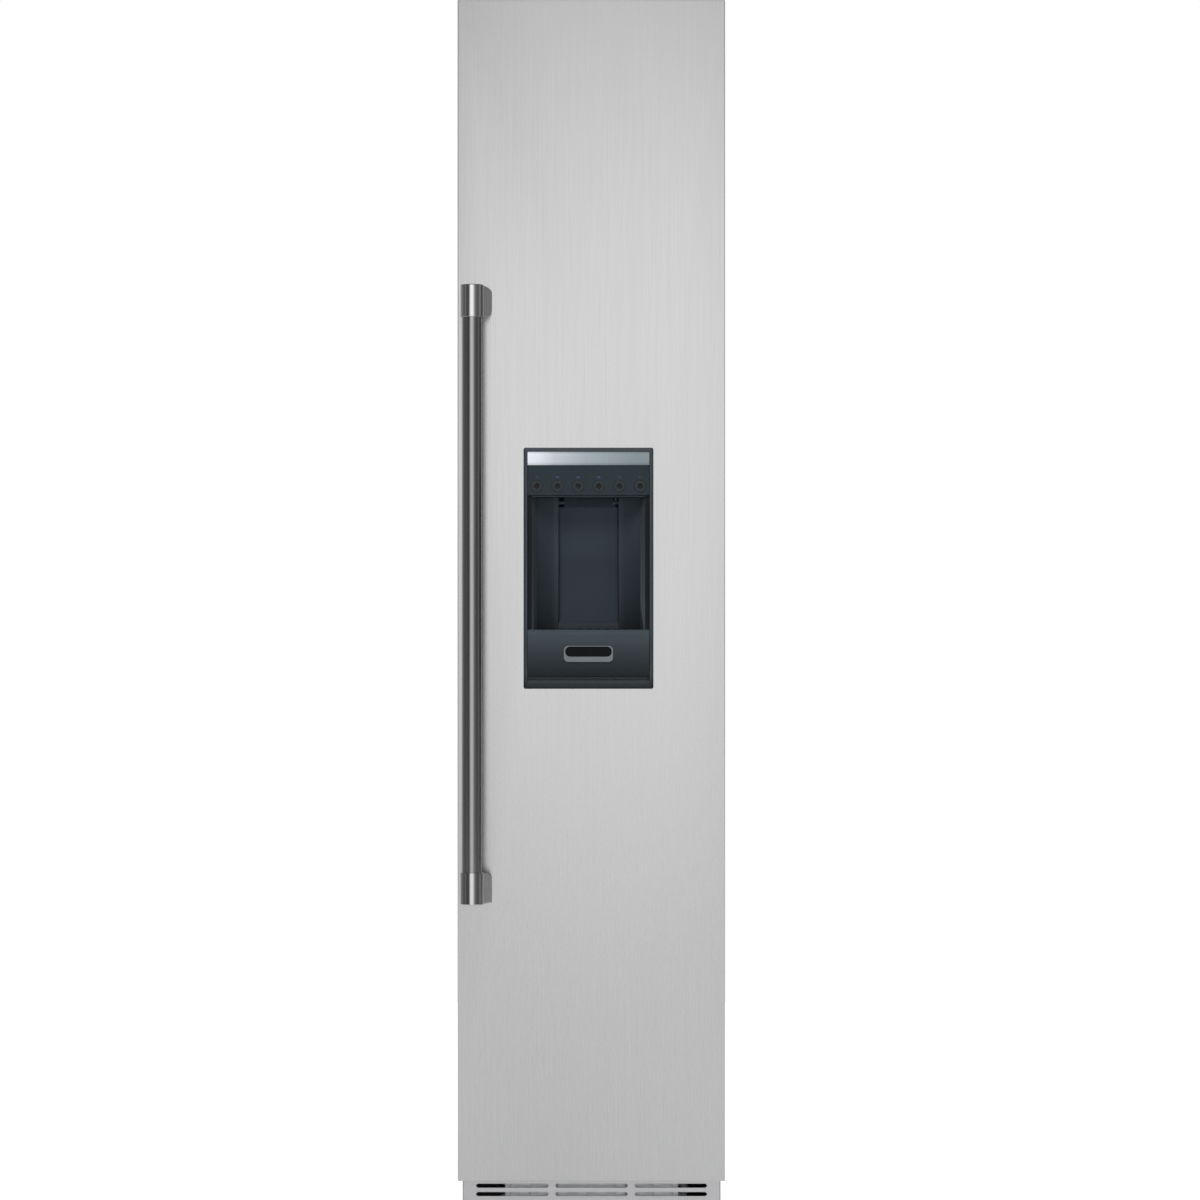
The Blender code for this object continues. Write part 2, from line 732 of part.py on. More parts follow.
def make_inlets():
    """The power socket and the water fitting on one plate, set through the machine cover."""
    neck = 0.020
    socket_depth = 0.012
    margin = 0.006
    bore_share = 0.6
    seat = COLUMN_DEPTH - CABINET_BACK
    plate_half = POWER_RADIUS + margin
    low = (POWER_X - plate_half, y_of(CABINET_BACK) - neck / 2, INLET_Z - plate_half)
    high = (WATER_X + plate_half, y_of(CABINET_BACK), INLET_Z + plate_half)
    plate = soften(block("rear_inlets", low, high), margin / 3, 1)
    for name, x, radius in (("power_socket", POWER_X, POWER_RADIUS), ("water_fitting", WATER_X, WATER_RADIUS)):
        neck_profile = [(0, seat + neck), (radius, seat + neck), (radius, 0), (0, 0)]
        place = (x, y_of(COLUMN_DEPTH), INLET_Z)
        join(plate, turned(name, neck_profile, "Y", place, 14))
        bore = radius * bore_share
        hole = [(0, socket_depth), (bore, socket_depth), (bore, -OVERRUN), (0, -OVERRUN)]
        cut(plate, turned(name + "_bore", hole, "Y", place, 14))
    finish(plate, black_plastic())


def make_base_frame():
    """A folded tray under the cabinet, open to the front grille and to the back."""
    window_margin = 0.020
    half = CABINET_HALF - SHEET - GAP
    front = y_of(TOE_DEPTH) + SHEET + BACK_SHEET
    back = y_of(CABINET_BACK) - GAP
    top = CABINET_BOTTOM - GAP
    frame = block("base_frame", (-half, front, BASE_FLOOR), (half, back, top))
    inside_low = (-half + BASE_SHEET, front + BASE_SHEET, BASE_FLOOR + BASE_SHEET)
    inside_high = (half - BASE_SHEET, back + OVERRUN, top + OVERRUN)
    cut(frame, block("base_inside", inside_low, inside_high))
    window_low = (-half + window_margin, front - OVERRUN, BASE_FLOOR + window_margin)
    window_high = (half - window_margin, front + OVERRUN, top - window_margin)
    cut(frame, block("base_window", window_low, window_high))
    finish(frame, case_steel())


def make_feet():
    """Four turned levelling feet, each a pad and a stem with its lock nut."""
    pad_radius = 0.020
    pad_height = 0.009
    stem_radius = 0.006
    nut_radius = 0.011
    nut_height = 0.008
    crown_share = 0.8
    inset_x = 0.045
    inset_y = 0.040
    top = BASE_FLOOR - GAP
    profile = [
        (0, top),
        (nut_radius, top),
        (nut_radius, top - nut_height),
        (stem_radius, top - nut_height),
        (stem_radius, pad_height),
        (pad_radius * crown_share, pad_height),
        (pad_radius, pad_height / 2),
        (pad_radius, 0),
        (0, 0),
    ]
    front = y_of(TOE_DEPTH) + inset_y
    back = y_of(CABINET_BACK) - inset_y
    for side, x in (("left", -CABINET_HALF + inset_x), ("right", CABINET_HALF - inset_x)):
        for end, y in (("front", front), ("rear", back)):
            foot = turned(f"levelling_foot_{end}_{side}", profile, "Z", (x, y, 0), 14)
            finish(foot, black_enamel())


def make_toe_grille():
    """The ventilated kick plate, set back under the door."""
    row_count = 5
    column_count = 3
    slot_height = 0.007
    end_share = 0.4
    row_pitch = 0.0145
    slot_gap = 0.012
    end_margin = 0.022
    first_row = 0.022
    half = CABINET_HALF - SHEET - GAP
    low = (-half, BASE_FLOOR)
    high = (half, CABINET_BOTTOM - HINGE_PLATE - 3 * GAP)
    outlines = [rounded_rectangle(low, high, SHEET)]
    width = (2 * (half - end_margin) - slot_gap * (column_count - 1)) / column_count
    for row in range(row_count):
        z = low[1] + first_row + row * row_pitch
        for column in range(column_count):
            x = -half + end_margin + column * (width + slot_gap)
            outlines.append(rounded_rectangle((x, z), (x + width, z + slot_height), slot_height * end_share, 1))
    front = y_of(TOE_DEPTH) - SHEET
    grille = prism("toe_grille", outlines, "Y", front, front + 2 * SHEET - GAP)
    finish(grille, brushed_steel())


def make_hinge_plates():
    """The two steel hinge plates with their pins, one above the door and one below."""
    nose = 0.014
    right = 0.006
    left = 0.075
    reach = 0.145
    pin_length = BUSH_LENGTH - 2 * SHEET
    collar_radius = 0.0095
    chamfer = 0.001
    end = -math.degrees(math.acos(right / nose))
    outline = arc((HINGE_X, HINGE_Y), nose, -180, end, 8)
    outline += [
        (HINGE_X + right, y_of(reach)),
        (HINGE_X - left, y_of(reach)),
        (HINGE_X - left, y_of(CABINET_FRONT) + GAP),
        (HINGE_X - nose, y_of(CABINET_FRONT) - nose),
    ]
    collar = SLAB_INSET - GAP
    radius = HINGE_PIN / 2
    for name, inner, up in (
        ("hinge_plate_top", CABINET_TOP + GAP, -1),
        ("hinge_plate_bottom", CABINET_BOTTOM - GAP, 1),
    ):
        outer = inner - up * HINGE_PLATE
        plate = prism(name, [outline], "Z", min(inner, outer), max(inner, outer))
        stem = [
            (0, collar + pin_length),
            (radius - chamfer, collar + pin_length),
            (radius, collar + pin_length - chamfer),
            (radius, collar),
            (collar_radius, collar),
            (collar_radius, -HINGE_PLATE / 2),
            (0, -HINGE_PLATE / 2),
        ]
        if up < 0:
            stem = [(r, -h) for r, h in reversed(stem)]
        join(plate, turned(name + "_pin", stem, "Z", (HINGE_X, HINGE_Y, inner), 16))
        finish(plate, polished_steel())


def make_compressor():
    """The sealed compressor on its foot plate."""
    radius = 0.068
    height = 0.165
    dome = 0.030
    stand = 0.018
    plate_half = 0.090
    plate_depth = 0.055
    plate = 0.003
    tube_radius = 0.004
    tube_rise = 0.045
    foot_share = 0.85
    x = -0.075
    y = y_of((MACHINE_FRONT + CABINET_BACK) / 2)
    floor = BASE_FLOOR + BASE_SHEET + GAP
    top = floor + stand + height
    profile = [(0, top)]
    profile += [(radius * math.cos(math.radians(a)), top - dome + dome * math.sin(math.radians(a)))
                for a in (65, 40, 20, 0)]
    profile += [(radius, floor + stand + dome / 2), (radius * foot_share, floor + stand), (0, floor + stand)]
    shell = turned("compressor", profile, "Z", (x, y, 0), 20)
    foot = prism(
        "compressor_foot",
        [rounded_rectangle((x - plate_half, y - plate_depth), (x + plate_half, y + plate_depth), stand)],
        "Z",
        floor + stand - plate,
        floor + stand + plate,
    )
    join(shell, foot)
    pads = []
    for side in (-1, 1):
        for end in (-1, 1):
            cx = x + side * (plate_half - stand)
            cy = y + end * (plate_depth - stand)
            half = stand / 2
            pads.append(((cx - half, cy - half, floor), (cx + half, cy + half, floor + stand)))
    join(shell, blocks("compressor_pads", pads))
    start = (x + radius / 2, y, top - dome)
    route = [start, (x + radius / 2, y, top + tube_rise / 2), (x + radius, y, top + tube_rise)]
    route.append((x + radius + tube_rise, y, top + tube_rise))
    join(shell, rod("compressor_tube", route, tube_radius, 8))
    finish(shell, black_enamel())


def finned_pack(name, low, high, fins, passes):
    """A fin pack on a flat serpentine tube whose bends stand out of both ends."""
    fin_share = 0.45
    spine_share = 0.3
    tube_share = 0.16
    tube_radius = (high[1] - low[1]) * tube_share
    pack = block(name, low, high)
    pitch = (high[0] - low[0]) / fins
    middle = (low[1] + high[1]) / 2
    spine = (high[1] - low[1]) * spine_share / 2
    grooves = []
    for i in range(fins):
        left = low[0] + (i + (1 - fin_share) / 2) * pitch
        right = left + pitch * fin_share
        grooves.append(((left, low[1] - OVERRUN, low[2] - OVERRUN), (right, middle - spine, high[2] + OVERRUN)))
        grooves.append(((left, middle + spine, low[2] - OVERRUN), (right, high[1] + OVERRUN, high[2] + OVERRUN)))
    cut(pack, blocks(name + "_grooves", grooves))
    rise = (high[2] - low[2]) / passes
    bend = rise / 2
    for i in range(passes - 1):
        z = low[2] + (i + 1) * rise
        side = 1 if i % 2 else -1
        root = high[0] - pitch / 8 if side > 0 else low[0] + pitch / 8
        points = [(root, middle, z - bend)]
        for a, b in arc((0, z), bend, -90, 90, 4):
            points.append(((high[0] if side > 0 else low[0]) + side * a, middle, b))
        points.append((root, middle, z + bend))
        join(pack, rod(f"{name}_bend_{i}", points, tube_radius, 6))
    return pack


def make_condenser():
    """The condenser pack in the base duct, just behind the kick plate."""
    depth = 0.045
    side = 0.073
    lift = 0.006
    start = 0.020
    half = CABINET_HALF - side
    front = y_of(TOE_DEPTH) + start
    low = (-half, front, BASE_FLOOR + BASE_SHEET + GAP)
    high = (half, front + depth, CABINET_BOTTOM - lift)
    finish(finned_pack("condenser", low, high, 9, 4), aluminium())


def make_evaporator():
    """The evaporator pack in the air duct behind the cover."""
    depth = 0.030
    side = 0.0455
    height = 0.300
    lift = 0.120
    half = CAVITY_HALF - side
    back = y_of(CAVITY_BACK) - GAP
    low = (-half, back - depth, STEP_TOP + lift)
    high = (half, back, STEP_TOP + lift + height)
    finish(finned_pack("evaporator", low, high, 7, 5), aluminium())


def make_fan(name, place, radius, hub_radius, depth, joint_empty):
    """An axial fan that turns about Y: a capped hub and five blades pitched to fill its depth."""
    blade_count = 5
    sweep = 26
    steps = 3
    sheet_share = 0.1
    cap_share = 0.85
    shoulder_share = 0.4
    root_share = 0.8
    blade_sheet = depth * sheet_share
    chord = radius * math.sin(math.radians(sweep))
    pitch = math.asin((depth / 2 - blade_sheet) / chord)
    hub_profile = [
        (0, depth / 2),
        (hub_radius * cap_share, depth / 2),
        (hub_radius, depth * shoulder_share),
        (hub_radius, -depth / 2),
        (0, -depth / 2),
    ]
    fan = turned(name, hub_profile, "Y", place, 16)
    for i in range(blade_count):
        inner = hub_radius * root_share
        outline = arc((0, 0), radius, 90 - sweep, 90 + sweep, steps)
        outline += [(-inner / 2, inner), (inner / 2, inner)]
        blade = prism(f"{name}_blade_{i}", [outline], "Y", -blade_sheet / 2, blade_sheet / 2)
        place_in = blade.location.copy()
        tilt = Matrix.Rotation(pitch, 4, "Z")
        spin = Matrix.Rotation(math.tau * i / blade_count, 4, "Y")
        blade.matrix_world = (
            Matrix.Translation(place) @ spin @ tilt @ Matrix.Translation(place_in) @ FACING["Y"].to_4x4()
        )
        join(fan, blade)
    return finish(fan, black_plastic(), joint_empty)


def make_condenser_fan():
    """The condenser fan, its shroud and the motor that the shroud's spokes carry."""
    radius = 0.043
    shroud_half = 0.050
    shroud_depth = 0.022
    ring_clearance = 0.003
    hub_radius = 0.014
    fan_depth = 0.016
    motor_radius = 0.016
    motor_depth = 0.020
    spoke = 0.003
    stand_off = 0.060
    corner_share = 0.12
    spoke_share = 0.98
    depth = MACHINE_FRONT - stand_off
    z = BASE_FLOOR + BASE_SHEET + GAP + shroud_half
    front = y_of(depth - shroud_depth / 2)
    back = front + shroud_depth
    outlines = [
        rounded_rectangle((-shroud_half, z - shroud_half), (shroud_half, z + shroud_half), shroud_half * corner_share),
        arc((0, z), radius + ring_clearance, 0, 345, 23),
    ]
    shroud = prism("fan_shroud", outlines, "Y", front, back)
    far = shroud_half * spoke_share
    for i, (x_half, z_half) in enumerate(((far, spoke), (spoke, far))):
        inset = (i + 1) * GAP
        bar_low = (-x_half, back - spoke + inset, z - z_half)
        join(shroud, block(f"shroud_bar_{i}", bar_low, (x_half, back - inset, z + z_half)))
    seat = back - spoke - GAP
    motor = [(0, 0), (motor_radius, 0), (motor_radius, -motor_depth), (0, -motor_depth)]
    join(shroud, turned("shroud_motor", motor, "Y", (0, seat, z), 16))
    finish(shroud, black_plastic())
    fan_place = (0, seat - GAP - fan_depth / 2, z)
    carrier = pivot("condenser_fan_axis", fan_place)
    make_fan("condenser_fan", fan_place, radius, hub_radius, fan_depth, carrier)


def make_evaporator_cover():
    """The air duct's cover, with outlet slots and the fan's ring, spokes and motor behind it."""
    sheet = 0.0025
    foot = 0.010
    head = 0.008
    slot_inner = 0.012
    slot_side = 0.0435
    slot_height = 0.007
    slot_pitch = 0.015
    slot_rows = 3
    slot_drop = 0.060
    spoke = 0.003
    spoke_depth = 0.006
    motor_radius = 0.016
    end_share = 0.4
    slot_outer = CAVITY_HALF - slot_side
    slot_half = (slot_outer - slot_inner) / 2
    slot_spread = (slot_outer + slot_inner) / 2
    bore = FAN_RADIUS + FAN_CLEARANCE
    low = (-CAVITY_HALF + GAP, STEP_TOP + foot)
    high = (CAVITY_HALF - GAP, CAVITY_TOP - head)
    outlines = [rounded_rectangle(low, high, CAVITY_RADIUS)]
    for i in range(slot_rows):
        z = SHELF_LEVELS[1] - slot_drop + i * slot_pitch
        for side in (-1, 1):
            middle = side * slot_spread
            slot = ((middle - slot_half, z), (middle + slot_half, z + slot_height))
            outlines.append(rounded_rectangle(*slot, slot_height * end_share, 1))
    front = y_of(COVER_FRONT)
    cover = prism("evaporator_cover", outlines, "Y", front, front + sheet)
    ring_end = y_of(CAVITY_BACK) - LINER
    length = ring_end - front - sheet / 2
    drum = [(0, length), (bore + sheet, length), (bore + sheet, 0), (0, 0)]
    join(cover, turned("fan_ring", drum, "Y", (0, ring_end, FAN_Z), 20))
    opening = [(0, length + OVERRUN), (bore, length + OVERRUN), (bore, -OVERRUN), (0, -OVERRUN)]
    cut(cover, turned("fan_opening", opening, "Y", (0, ring_end, FAN_Z), 20))
    far = bore + sheet / 2
    for i, (x_half, z_half) in enumerate(((far, spoke), (spoke, far))):
        inset = (i + 1) * GAP
        bar_low = (-x_half, ring_end - spoke_depth + inset, FAN_Z - z_half)
        join(cover, block(f"fan_spoke_{i}", bar_low, (x_half, ring_end - inset, FAN_Z + z_half)))
    start = front + LINER + FAN_DEPTH + GAP
    profile = [(0, ring_end - start), (motor_radius, ring_end - start), (motor_radius, SHEET), (0, SHEET)]
    join(cover, turned("fan_motor", profile, "Y", (0, ring_end, FAN_Z), 16))
    finish(cover, white_plastic())


def make_evaporator_fan():
    """The freezer fan in its mouth, on the cover's motor."""
    hub_radius = 0.013
    place = (0, y_of(COVER_FRONT) + LINER + FAN_DEPTH / 2, FAN_Z)
    make_fan("evaporator_fan", place, FAN_RADIUS, hub_radius, FAN_DEPTH, pivot("evaporator_fan_axis", place))


def make_drain_pan():
    """The evaporation pan beside the compressor."""
    wall = 0.002
    height = 0.030
    left = 0.045
    side = 0.018
    margin = 0.015
    floor = BASE_FLOOR + BASE_SHEET + GAP
    low = (left, y_of(MACHINE_FRONT) + margin, floor)
    high = (CABINET_HALF - side, y_of(CABINET_BACK) - margin - OVERRUN, floor + height)
    pan = soften(block("drain_pan", low, high), margin / 2)
    inner_low = tuple(a + wall for a in low)
    inner_high = (high[0] - wall, high[1] - wall, high[2] + OVERRUN)
    cut(pan, soften(block("pan_inside", inner_low, inner_high), margin / 2 - wall))
    finish(pan, black_plastic())


def make_shelves():
    """Glass shelves that rest on the liner's ledges."""
    side_gap = 0.001
    for i, level in enumerate(SHELF_LEVELS):
        half = CAVITY_HALF - side_gap
        low = (-half, y_of(SHELF_FRONT))
        high = (half, y_of(COVER_FRONT) - GAP)
        shelf = prism(f"shelf_{i + 1}", [rounded_rectangle(low, high, LEDGE_REACH)], "Z", level, level + SHELF_GLASS)
        finish(shelf, glass())


def make_ice_maker():
    """The ice mould with its dividers, bracket and drive housing, and the ejector in it."""
    radius = 0.028
    wall = 0.006
    half = 0.095
    divider = 0.002
    cells = 6
    web_drop = 20
    bracket_drop = 0.024
    bracket_sheet = 0.012
    bracket_half = 0.050
    drive_width = 0.038
    drive_margin = 0.010
    shaft = 0.004
    bearing_half = 0.010
    finger_half = 0.0035
    finger_width = 0.004
    centre = (y_of(MAKER_DEPTH), MAKER_Z)
    trough = arc(centre, radius + wall, 180, 360, 10) + arc(centre, radius, 360, 180, 10)
    mould = prism("ice_maker", [trough], "X", -half, half)
    pitch = (2 * half - divider) / cells
    for i in range(cells + 1):
        x = -half + i * pitch
        web = arc(centre, radius + wall / 2, 180 + web_drop, 360 - web_drop, 6)
        join(mould, prism(f"mould_divider_{i}", [web], "X", x, x + divider))
    bracket_low = (-bracket_half, centre[0] + radius + wall / 3, MAKER_Z - bracket_drop)
    bracket_high = (bracket_half, y_of(COVER_FRONT) - GAP, MAKER_Z - bracket_drop + bracket_sheet)
    join(mould, block("mould_bracket", bracket_low, bracket_high))
    low = (half - divider / 2, centre[0] - radius - wall, MAKER_Z - radius - drive_margin)
    high = (half + drive_width, centre[0] + radius + wall, MAKER_Z + radius / 2)
    join(mould, soften(block("ice_maker_drive", low, high), drive_margin / 2))
    bearing_low = (-half - divider / 2, centre[0] - bearing_half, MAKER_Z - radius)
    join(mould, block("mould_bearing", bearing_low, (-half + divider / 2, centre[0] + bearing_half, MAKER_Z + bearing_half)))
    place = (0, *centre)
    hole = [(0, 0), (shaft + GAP, 0), (shaft + GAP, -half - OVERRUN), (0, -half - OVERRUN)]
    cut(mould, turned("bearing_hole", hole, "X", place, 10))
    finish(mould, aluminium())
    carrier = pivot("ice_ejector_axis", place)
    end = half - divider / 2 - GAP
    tail = -half - divider
    profile = [(0, end), (shaft, end), (shaft, tail), (0, tail)]
    ejector = turned("ice_ejector", profile, "X", place, 10)
    for i in range(cells):
        x = -half + divider + (i + 0.5) * pitch - divider / 2
        low = (x - finger_half, centre[0] - finger_width / 2, MAKER_Z)
        high = (x + finger_half, centre[0] + finger_width / 2, EJECTOR_TOP)
        join(ejector, block(f"ejector_finger_{i}", low, high))
    finish(ejector, aluminium(), carrier)


def container_outline(inset):
    """The ice container's section: a round trough under flared sides, drawn in by an inset."""
    shoulder = ICE_HEIGHT / 2
    trough = TROUGH_RADIUS + LINER - inset
    side = ICE_HALF - inset
    outline = arc((DISPENSER_X, AUGER_Z), trough, 200, 340, 10)
    left = DISPENSER_X - side
    right = DISPENSER_X + side
    outline += [(right, ICE_BOTTOM + shoulder), (right, ICE_TOP), (left, ICE_TOP), (left, ICE_BOTTOM + shoulder)]
    return outline


def make_ice_container():
    """The ice container that hangs by its rim, with its outlet spout and the auger's rear hole."""
    spout_wall = 0.0025
    spout_gap = 0.003
    front = y_of(ICE_FRONT)
    back = y_of(ICE_BACK)
    body = prism("ice_container", [container_outline(0)], "Y", front, back)
    rim_half = CAVITY_HALF - LEDGE_REACH / 2
    rim = block("container_rim", (-rim_half, front, ICE_TOP - RUNNER), (rim_half, back, ICE_TOP))
    join(body, rim)
    spout_length = ICE_FRONT - BUMP_BACK - spout_gap
    radius = SPOUT_BORE + spout_wall
    spout = [(0, spout_length), (radius, spout_length), (radius, -LINER / 2), (0, -LINER / 2)]
    join(body, turned("container_spout", spout, "Y", (DISPENSER_X, front, AUGER_Z), 20))
    inside = container_outline(LINER)
    inside[-2] = (inside[-2][0], ICE_TOP + OVERRUN)
    inside[-3] = (inside[-3][0], ICE_TOP + OVERRUN)
    cut(body, prism("container_inside", [inside], "Y", front + LINER, back - LINER))
    far = OVERRUN + spout_length
    bore = [(0, far), (SPOUT_BORE, far), (SPOUT_BORE, -OVERRUN), (0, -OVERRUN)]
    cut(body, turned("spout_bore", bore, "Y", (DISPENSER_X, front, AUGER_Z), 20))
    hole = AUGER_HUB + SHEET / 2
    rear = [(0, OVERRUN), (hole, OVERRUN), (hole, -OVERRUN), (0, -OVERRUN)]
    cut(body, turned("auger_hole", rear, "Y", (DISPENSER_X, back, AUGER_Z), 12))
    finish(body, clear_plastic())


def make_auger():
    """The helical auger that drives ice to the spout, and the motor behind it."""
    coil_radius = 0.026
    wire = 0.004
    pitch = 0.060
    points_a_turn = 7
    shaft = 0.005
    end_gap = 0.012
    motor_half = 0.035
    front = y_of(ICE_FRONT) + LINER + end_gap
    back = y_of(ICE_BACK)
    seat = back + GAP
    place = (DISPENSER_X, (front + back) / 2, AUGER_Z)
    carrier = pivot("ice_auger_axis", place)
    middle = place[1]
    hub_start = back - LINER - end_gap
    profile = [
        (0, middle - front),
        (shaft, middle - front),
        (shaft, middle - hub_start),
        (AUGER_HUB, middle - hub_start),
        (AUGER_HUB, middle - back),
        (0, middle - back),
    ]
    auger = turned("ice_auger", profile, "Y", place, 12)
    run = hub_start - front - 3 * wire
    turns = run / pitch
    count = round(turns * points_a_turn)
    points = [(DISPENSER_X, front + 1.5 * wire, AUGER_Z)]
    for i in range(count + 1):
        angle = math.tau * turns * i / count
        y = front + 1.5 * wire + run * i / count
        x = DISPENSER_X + coil_radius * math.cos(angle)
        points.append((x, y, AUGER_Z + coil_radius * math.sin(angle)))
    points.append((DISPENSER_X, points[-1][1], AUGER_Z))
    join(auger, rod("auger_helix", points, wire, 6))
    finish(auger, polished_steel(), carrier)
    low = (DISPENSER_X - motor_half, seat, AUGER_Z - motor_half)
    high = (DISPENSER_X + motor_half, y_of(COVER_FRONT) - GAP, AUGER_Z + motor_half)
    finish(soften(block("auger_motor", low, high), motor_half / 6), white_plastic())


def make_drawer(name, bottom, top, back, mover):
    """A pull-out bin that hangs by its side rims, with a scooped grip in its front."""
    draft = 0.006
    wall = 0.0025
    corner = 0.010
    rim_front = 0.035
    scoop = 0.045
    scoop_drop = 0.020
    front = y_of(DRAWER_FRONT)
    far_top = top + 2 * corner
    bin_body = soften(drafted(name, (-DRAWER_HALF, front, bottom), (DRAWER_HALF, y_of(back), far_top), draft), corner)
    trim_low = (-DRAWER_HALF - OVERRUN, front - OVERRUN, top)
    trim_high = (DRAWER_HALF + OVERRUN, y_of(back) + OVERRUN, far_top + OVERRUN)
    cut(bin_body, block(name + "_trim", trim_low, trim_high))
    rims = []
    for side in (-1, 1):
        near = side * (DRAWER_HALF - wall / 2)
        far = side * (CAVITY_HALF - LEDGE_REACH / 2)
        low = (min(near, far), front + rim_front, top - RUNNER)
        high = (max(near, far), y_of(back) - corner, top)
        rims.append((low, high))
    join(bin_body, blocks(name + "_rims", rims))
    half = DRAWER_HALF - wall
    inner_low = (-half, front + wall, bottom + wall)
    inner_high = (half, y_of(back) - wall, far_top)
    inside = drafted(name + "_inside", inner_low, inner_high, draft)
    cut(bin_body, soften(inside, corner - wall))
    grip = arc((0, top + scoop - scoop_drop), scoop, 180, 360, 8)
    cut(bin_body, prism(name + "_grip", [grip], "Y", front - OVERRUN, front + corner + wall))
    finish(bin_body, clear_plastic(), mover)


def make_door_panel(door):
    """The folded stainless pan, with its cut-out for the dispenser."""
    low = (-PANEL_HALF, FACE_Y, PANEL_BOTTOM)
    high = (PANEL_HALF, y_of(PAN_DEPTH), COLUMN_HEIGHT)
    pan = block("door_panel", low, high)
    inner = PANEL_HALF - PAN_SHEET
    inside_low = (-inner, y_of(PAN_SHEET), PANEL_BOTTOM + PAN_SHEET)
    inside_high = (inner, y_of(PAN_DEPTH) + OVERRUN, COLUMN_HEIGHT - PAN_SHEET)
    cut(pan, block("pan_inside", inside_low, inside_high))
    rim = FRAME_RIM / 2
    half = FRAME_WIDTH / 2 - rim + GAP
    opening = rounded_rectangle(
        (DISPENSER_X - half, FRAME_BOTTOM + rim - GAP), (DISPENSER_X + half, FRAME_TOP - rim + GAP), rim
    )
    cut(pan, prism("pan_opening", [opening], "Y", FACE_Y - OVERRUN, FACE_Y + OVERRUN))
    finish(pan, brushed_steel(), door)


def make_door_core(door):
    """The door's foam, with the pockets for the dispenser, the chute and the hinge bushes."""
    pan = PANEL_HALF - PAN_SHEET - GAP
    front = y_of(PAN_SHEET) + GAP
    low = PANEL_BOTTOM + PAN_SHEET + GAP
    high = COLUMN_HEIGHT - PAN_SHEET - GAP
    core = block("door_core", (-pan, front, low), (pan, y_of(PAN_DEPTH) - GAP, high))
    half = SLAB_HALF - SHEET - GAP
    bottom = SLAB_BOTTOM + SHEET + GAP
    top = SLAB_TOP - SHEET - GAP
    back = y_of(PLATE_FRONT) - GAP
    join(core, block("core_slab", (-half, front + SHEET, bottom), (half, back, top)))
    margin = LINER + GAP
    bump_low = (-BUMP_HALF + margin, back - OVERRUN, BUMP_BOTTOM + margin)
    bump_high = (BUMP_HALF - margin, y_of(BUMP_BACK) - margin, BUMP_TOP - margin)
    join(core, block("core_bump", bump_low, bump_high))
    pocket = FRAME_WIDTH / 2 - FRAME_RIM / 2 + 2 * GAP
    pocket_low = (DISPENSER_X - pocket, FACE_Y - OVERRUN, FRAME_BOTTOM + FRAME_RIM / 4)
    pocket_high = (DISPENSER_X + pocket, y_of(NICHE_DEPTH) + MOULDING + GAP, FRAME_TOP - FRAME_RIM / 4)
    cut(core, block("core_pocket", pocket_low, pocket_high))
    duct = CHUTE_WIDTH / 2 + GAP
    duct_low = (DISPENSER_X - duct, y_of(CHUTE_FRONT), NICHE_TOP)
    duct_high = (DISPENSER_X + duct, y_of(BUMP_BACK) + OVERRUN, CHUTE_TOP + GAP)
    cut(core, block("core_duct", duct_low, duct_high))
    for z in (SLAB_BOTTOM, SLAB_TOP):
        radius = BUSH_RADIUS + GAP
        end = BUSH_LENGTH + GAP
        hole = [(0, end), (radius, end), (radius, -end), (0, -end)]
        cut(core, turned("core_bush_hole", hole, "Z", (HINGE_X, HINGE_Y, z), 16))
    finish(core, foam(), door)


def make_door_shell(door):
    """The steel band round the slab, holed at both ends for the hinge pins."""
    outer = rounded_rectangle((-SLAB_HALF, SLAB_BOTTOM), (SLAB_HALF, SLAB_TOP), 3 * SHEET)
    inner = rectangle((-SLAB_HALF + SHEET, SLAB_BOTTOM + SHEET), (SLAB_HALF - SHEET, SLAB_TOP - SHEET))
    front = y_of(PAN_DEPTH) + GAP
    shell = prism("door_shell", [outer, inner], "Y", front, y_of(PLATE_FRONT) - GAP)
    for z in (SLAB_BOTTOM, SLAB_TOP):
        radius = BUSH_RADIUS + GAP
        hole = [(0, 2 * SHEET), (radius, 2 * SHEET), (radius, -2 * SHEET), (0, -2 * SHEET)]
        cut(shell, turned("shell_bush_hole", hole, "Z", (HINGE_X, HINGE_Y, z), 16))
    finish(shell, case_steel(), door)


def make_bushes(door):
    """A plastic bush in each end of the door, round the hinge pins."""
    bore = HINGE_PIN / 2 + GAP
    for name, low in (("hinge_bush_bottom", SLAB_BOTTOM), ("hinge_bush_top", SLAB_TOP - BUSH_LENGTH)):
        profile = [(BUSH_RADIUS, BUSH_LENGTH), (BUSH_RADIUS, 0), (bore, 0), (bore, BUSH_LENGTH)]
        finish(turned(name, profile, "Z", (HINGE_X, HINGE_Y, low), 16, ring=True), dark_plastic(), door)


